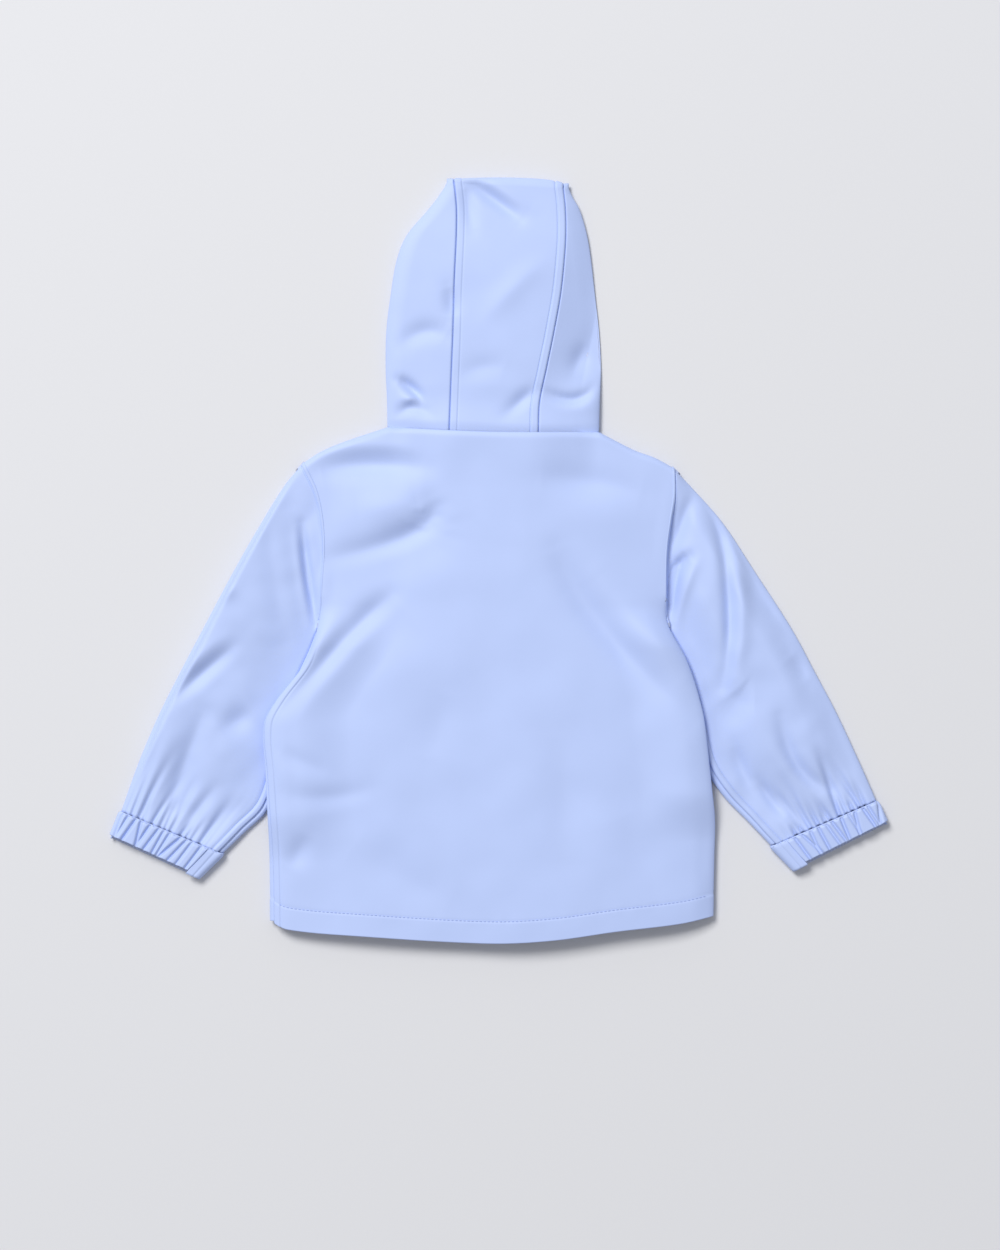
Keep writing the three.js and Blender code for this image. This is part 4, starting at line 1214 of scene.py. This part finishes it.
class RAINCOAT_OT_body(bpy.types.Operator):
    """Make the back and the two fronts."""

    bl_idname = "raincoat.body"
    bl_label = "Back and fronts"

    def execute(self, context):
        sizes = context.scene.raincoat_sizes
        hem = sizes.hem_depth / MM
        strip = sizes.seam_strip / MM
        depth = sizes.crease_depth
        half = SEAM_LAP / 2
        rows = body_rows(160)

        def back_places(tube):
            return places([LEFT_SEAM.inset(tube.left_y) - half, tube.quarter + 8, tube.side - tube.quarter,
                           tube.side + half], [24, 150, 12])

        def hem_relief(from_hem):
            return band(from_hem, hem, HEM_HEIGHT) + seam_groove("hem", from_hem - hem)

        points, from_hem = body_panel(rows, True, back_places, depth)
        from_left = np.linalg.norm(points - points[:, :1], axis=-1)
        from_right = np.linalg.norm(points - points[:, -1:], axis=-1)
        puckers = ripple(points[..., 0], points[..., 1], HEM_PUCKERS.size, HEM_PUCKERS.seed)
        puckers *= HEM_PUCKERS.height * np.exp(-((from_hem - hem) / HEM_PUCKERS.reach) ** 2)
        relief = hem_relief(from_hem) + puckers + seam_groove("side", from_right)
        below_arm = smoothstep(points[..., 1], *BODY.seam_y)
        relief += below_arm * allowance("back_left", from_left, strip)
        relief += seam_groove("back_left", from_left)
        finish_cloth("back", points, relief, context.scene)

        def left_places(tube):
            edge = 2 * tube.side - tube.quarter + tube.radius - (PLACKET.lap + np.abs(tube.left_x))
            fold = 2 * tube.side
            return places([edge, edge + 130, fold - tube.quarter,
                           fold + LEFT_SEAM.inset(tube.left_y) + half], [60, 10, 14])

        rows = body_rows(100)
        points, from_hem = body_panel(rows, False, left_places, depth)
        from_edge = np.linalg.norm(points - points[:, :1], axis=-1)
        from_seam = np.linalg.norm(points - points[:, -1:], axis=-1)
        relief = hem_relief(from_hem) + seam_groove("side", from_seam)
        relief += band(from_edge, PLACKET.width, PLACKET.height)
        finish_cloth("front_left", points, relief, context.scene)

        def right_places(tube):
            edge = tube.side + tube.quarter - tube.radius + PLACKET.lap + tube.right_x
            return places([tube.side - half, tube.side + tube.quarter, edge - 120, edge], [10, 14, 60])

        points, from_hem = body_panel(rows, False, right_places, depth)
        lapped = 1 - smoothstep(points[..., 0] - PLACKET.lap, *PLACKET.ease)
        points[..., 2] += (sizes.wall / MM + PLACKET.gap) * lapped
        from_seam = np.linalg.norm(points - points[:, :1], axis=-1)
        relief = hem_relief(from_hem) * (1 - lapped) + seam_groove("side", from_seam)
        finish_cloth("front_right", points, relief, context.scene)
        return {"FINISHED"}


class RAINCOAT_OT_sleeves(bpy.types.Operator):
    """Make the two sleeves."""

    bl_idname = "raincoat.sleeves"
    bl_label = "Sleeves"

    def execute(self, context):
        sizes = context.scene.raincoat_sizes
        strip = sizes.seam_strip / MM
        depth = sizes.crease_depth
        for hand in ("left", "right"):
            along = places([1, 0.94, 0.05, 0], [14, 110, 30])[:, None]
            tube = sleeve_section(hand, along)
            seam = lerp(*SLEEVE.seam_inset, smoothstep(along, *SLEEVE.seam_share))
            start = tube.side - seam if hand == "left" else seam
            half = SEAM_LAP / 2
            stops = [start - half]
            for fold in (tube.side, 2 * tube.side):
                stops += [fold - tube.quarter, fold, fold + tube.quarter]
            stops.append(start + 2 * tube.side + half)
            counts = [12, 10, 8, 36, 8, 8, 76] if hand == "left" else [76, 8, 8, 36, 8, 10, 12]
            place = places(stops, counts)
            points, inwards = sleeve_points(hand, along, tube, place, depth)
            from_mouth = along * lerp(SLEEVE.underarm_length, SLEEVE.outer_length, inwards)
            on_front = place - start if hand == "left" else start + 2 * tube.side - place
            from_seam = np.minimum(place - start, start + 2 * tube.side - place)
            relief = allowance("armhole", from_mouth, strip) + allowance("underarm", on_front, strip)
            relief += seam_groove("underarm", from_seam) + seam_groove("armhole", from_mouth)
            finish_cloth(f"sleeve_{hand}", points, relief, context.scene)
        return {"FINISHED"}


class RAINCOAT_OT_cuffs(bpy.types.Operator):
    """Make each cuff's gathered and plain halves."""

    bl_idname = "raincoat.cuffs"
    bl_label = "Cuffs"

    def execute(self, context):
        sizes = context.scene.raincoat_sizes
        strip = sizes.seam_strip / MM
        for hand in ("left", "right"):
            along = places([CUFF.gathered_end, 0], [30])[:, None]
            tube = cuff_section(hand, along)
            split = CUFF.split * tube.side
            ends = [CUFF.gap, tube.side - split] if hand == "left" else [split, tube.side - CUFF.gap]
            place = places(ends, [260])
            points = cuff_points(tube, place)
            down = along / CUFF.gathered_end
            waves = gathers(hand, np.clip(place / tube.side, 0, 1), down)
            height = sizes.gather_height / MM
            relief = height * (waves - GATHERS.lowest) * smoothstep(down, *GATHERS.starts_share)
            points[..., 1] += GATHERS.scallop * (waves - 0.5) * smoothstep(down, *GATHERS.scallop_share)
            finish_cloth(f"cuff_gathered_{hand}", points, relief, context.scene)

            along = places([1, 0], [16])[:, None]
            tube = cuff_section(hand, along)
            split = CUFF.split * tube.side
            if hand == "left":
                stops = [tube.side - split, tube.side - tube.quarter, tube.side, tube.side + tube.quarter,
                         2 * tube.side - tube.quarter, 2 * tube.side + CUFF.lap]
                counts = [14, 8, 8, 30, 10]
            else:
                stops = [tube.side - CUFF.lap, tube.side + tube.quarter, 2 * tube.side - tube.quarter,
                         2 * tube.side, 2 * tube.side + tube.quarter, 2 * tube.side + split]
                counts = [10, 30, 8, 8, 14]
            place = places(stops, counts)
            points = cuff_points(tube, place)
            from_split = place - stops[0] if hand == "left" else stops[-1] - place
            relief = allowance("cuff", from_split, strip) + CUFF.thicker
            relief += seam_groove("cuff", along * CUFF.depth)
            finish_cloth(f"cuff_plain_{hand}", points, relief, context.scene)
        return {"FINISHED"}


class RAINCOAT_OT_hood(bpy.types.Operator):
    """Make the hood's two sides and its centre strip."""

    bl_idname = "raincoat.hood"
    bl_label = "Hood"

    def execute(self, context):
        sizes = context.scene.raincoat_sizes
        strip = sizes.seam_strip / MM
        depth = sizes.crease_depth
        for hand in ("left", "right"):
            points, to_seam, from_face = hood_side_points(hand, depth)
            sink_seam(points, to_seam)
            relief = seam_groove("hood_side", to_seam) + band(from_face, HOOD.face_hem, HOOD.hem_height)
            finish_cloth(f"hood_{hand}", points, relief, context.scene)
        points, from_left, from_right = hood_centre_points(depth)
        sink_seam(points, np.minimum(from_left, from_right))
        relief = allowance("hood_left", from_left, strip) + allowance("hood_right", from_right, strip)
        relief += seam_groove("hood_centre", from_left) + seam_groove("hood_centre", from_right)
        finish_cloth("hood_centre", points, relief, context.scene)
        return {"FINISHED"}


# Where the stitch lines run: from, to and how many points, and the placket line's distance from its edge
SEWN = SimpleNamespace(
    hem_x=(-184, 176, 90), placket_y=(-308, 50, 60), placket_inset=2.5,
    cuff_along=0.04, cuff_share=(0.03, 0.97, 60))


class RAINCOAT_OT_stitching(bpy.types.Operator):
    """Sew the hem, the cuffs and the placket."""

    bl_idname = "raincoat.stitching"
    bl_label = "Stitching"

    def execute(self, context):
        sizes = context.scene.raincoat_sizes
        thread = sewing_thread(context.scene.raincoat_colours)
        hem = sizes.hem_depth / MM
        across = np.linspace(*SEWN.hem_x)
        hem_back = [(x, float(HEM.back(x)) + hem) for x in across]
        hem_front = [(x, float(HEM.front(x)) + hem) for x in across]
        body = surface_of("back", "front_left", "front_right")
        lines = [
            drop_line(body, hem_back, True, THREAD_LIFT.back),
            drop_line(body, hem_front, False, THREAD_LIFT.front),
        ]
        for x in (SEWN.placket_inset - PLACKET.lap, PLACKET.width - PLACKET.lap):
            line = [(x, y) for y in np.linspace(*SEWN.placket_y)]
            lines.append(drop_line(body, line, False, THREAD_LIFT.front))
        piece = stitches("body_stitching", lines, sizes, thread)
        declare(piece, [])
        for hand in ("left", "right"):
            sleeve = surface_of(f"sleeve_{hand}", f"cuff_gathered_{hand}", f"cuff_plain_{hand}")
            tube = cuff_section(hand, SEWN.cuff_along)
            line = [(lerp(tube.left_x, tube.right_x, s), lerp(tube.left_y, tube.right_y, s))
                    for s in np.linspace(*SEWN.cuff_share)]
            lines = [
                drop_line(sleeve, line, True, THREAD_LIFT.cuff),
                drop_line(sleeve, line, False, THREAD_LIFT.front),
            ]
            piece = stitches(f"cuff_stitching_{hand}", lines, sizes, thread)
            declare(piece, [])
        return {"FINISHED"}


class RAINCOAT_OT_snaps(bpy.types.Operator):
    """Set the five snaps in the front placket."""

    bl_idname = "raincoat.snaps"
    bl_label = "Snaps"

    def execute(self, context):
        resin = snap_resin(context.scene.raincoat_colours)
        names = [f"snap_{i + 1}" for i in range(PLACKET.snaps)]
        centres = []
        for name in names:
            low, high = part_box(name)
            centres.append(((low[0] + high[0]) / 2, (low[1] + high[1]) / 2, low[2] + SNAP.height))
        piece = snap_caps("snaps", centres, context.scene.raincoat_sizes, resin)
        declare(piece, names)
        return {"FINISHED"}


class RAINCOAT_OT_studio(bpy.types.Operator):
    """Make the pale surface, the soft light and the camera straight above the coat."""

    bl_idname = "raincoat.studio"
    bl_label = "Surface, light and camera"

    def execute(self, context):
        scene = context.scene
        mesh = bpy.data.meshes.new("surface")
        reach = 4.0
        below = -0.0001  # keeps the surface off the cloth's own underside
        corners = [(-reach, -reach), (reach, -reach), (reach, reach), (-reach, reach)]
        mesh.from_pydata([(x, y, below) for x, y in corners], [], [(0, 1, 2, 3)])
        mesh.materials.append(painted_board(scene.raincoat_colours))
        floor = bpy.data.objects.new("surface", mesh)
        scene.collection.objects.link(floor)

        world = bpy.data.worlds.new("studio")
        world.use_nodes = True
        background = world.node_tree.nodes["Background"].inputs
        background["Color"].default_value = (0.93, 0.95, 1.0, 1.0)
        background["Strength"].default_value = 0.42
        scene.world = world

        light = bpy.data.lights.new("window", "AREA")
        light.size = 3.2
        light.energy = 615
        light.color = (1.0, 0.985, 0.96)
        window = bpy.data.objects.new("window", light)
        window.location = (-3.0, 4.2, 6.6)
        window.rotation_euler = (-window.location).to_track_quat("-Z", "Y").to_euler()
        scene.collection.objects.link(window)

        camera_data = bpy.data.cameras.new("above")
        camera_data.lens = 85
        camera_data.sensor_width = 36
        camera = bpy.data.objects.new("above", camera_data)
        # A camera that isn't turned looks straight down
        camera.location = (0.00255, -0.0555, 2.5187)
        scene.collection.objects.link(camera)
        scene.camera = camera
        scene.view_settings.view_transform = "Standard"
        return {"FINISHED"}


class RAINCOAT_PT_panel(bpy.types.Panel):
    """Lists the raincoat's operators and settings."""

    bl_label = "Raincoat"
    bl_space_type = "VIEW_3D"
    bl_region_type = "UI"
    bl_category = "Raincoat"

    def draw(self, context):
        for operator in OPERATORS:
            self.layout.operator(operator.bl_idname)
        for group in (context.scene.raincoat_sizes, context.scene.raincoat_colours):
            for name in group.bl_rna.properties.keys():
                if name not in {"rna_type", "name"}:
                    self.layout.prop(group, name)


OPERATORS = (
    RAINCOAT_OT_body,
    RAINCOAT_OT_sleeves,
    RAINCOAT_OT_cuffs,
    RAINCOAT_OT_hood,
    RAINCOAT_OT_stitching,
    RAINCOAT_OT_snaps,
    RAINCOAT_OT_studio,
)
CLASSES = (RaincoatSizes, RaincoatColours) + OPERATORS + (RAINCOAT_PT_panel,)


def register():
    for item in CLASSES:
        bpy.utils.register_class(item)
    bpy.types.Scene.raincoat_sizes = bpy.props.PointerProperty(type=RaincoatSizes)
    bpy.types.Scene.raincoat_colours = bpy.props.PointerProperty(type=RaincoatColours)


def unregister():
    del bpy.types.Scene.raincoat_colours
    del bpy.types.Scene.raincoat_sizes
    for item in reversed(CLASSES):
        bpy.utils.unregister_class(item)


def main():
    """Builds the whole scene through its operators."""
    register()
    bpy.ops.raincoat.body()
    bpy.ops.raincoat.sleeves()
    bpy.ops.raincoat.cuffs()
    bpy.ops.raincoat.hood()
    bpy.ops.raincoat.stitching()
    bpy.ops.raincoat.snaps()
    bpy.ops.raincoat.studio()


if __name__ == "__main__":
    main()
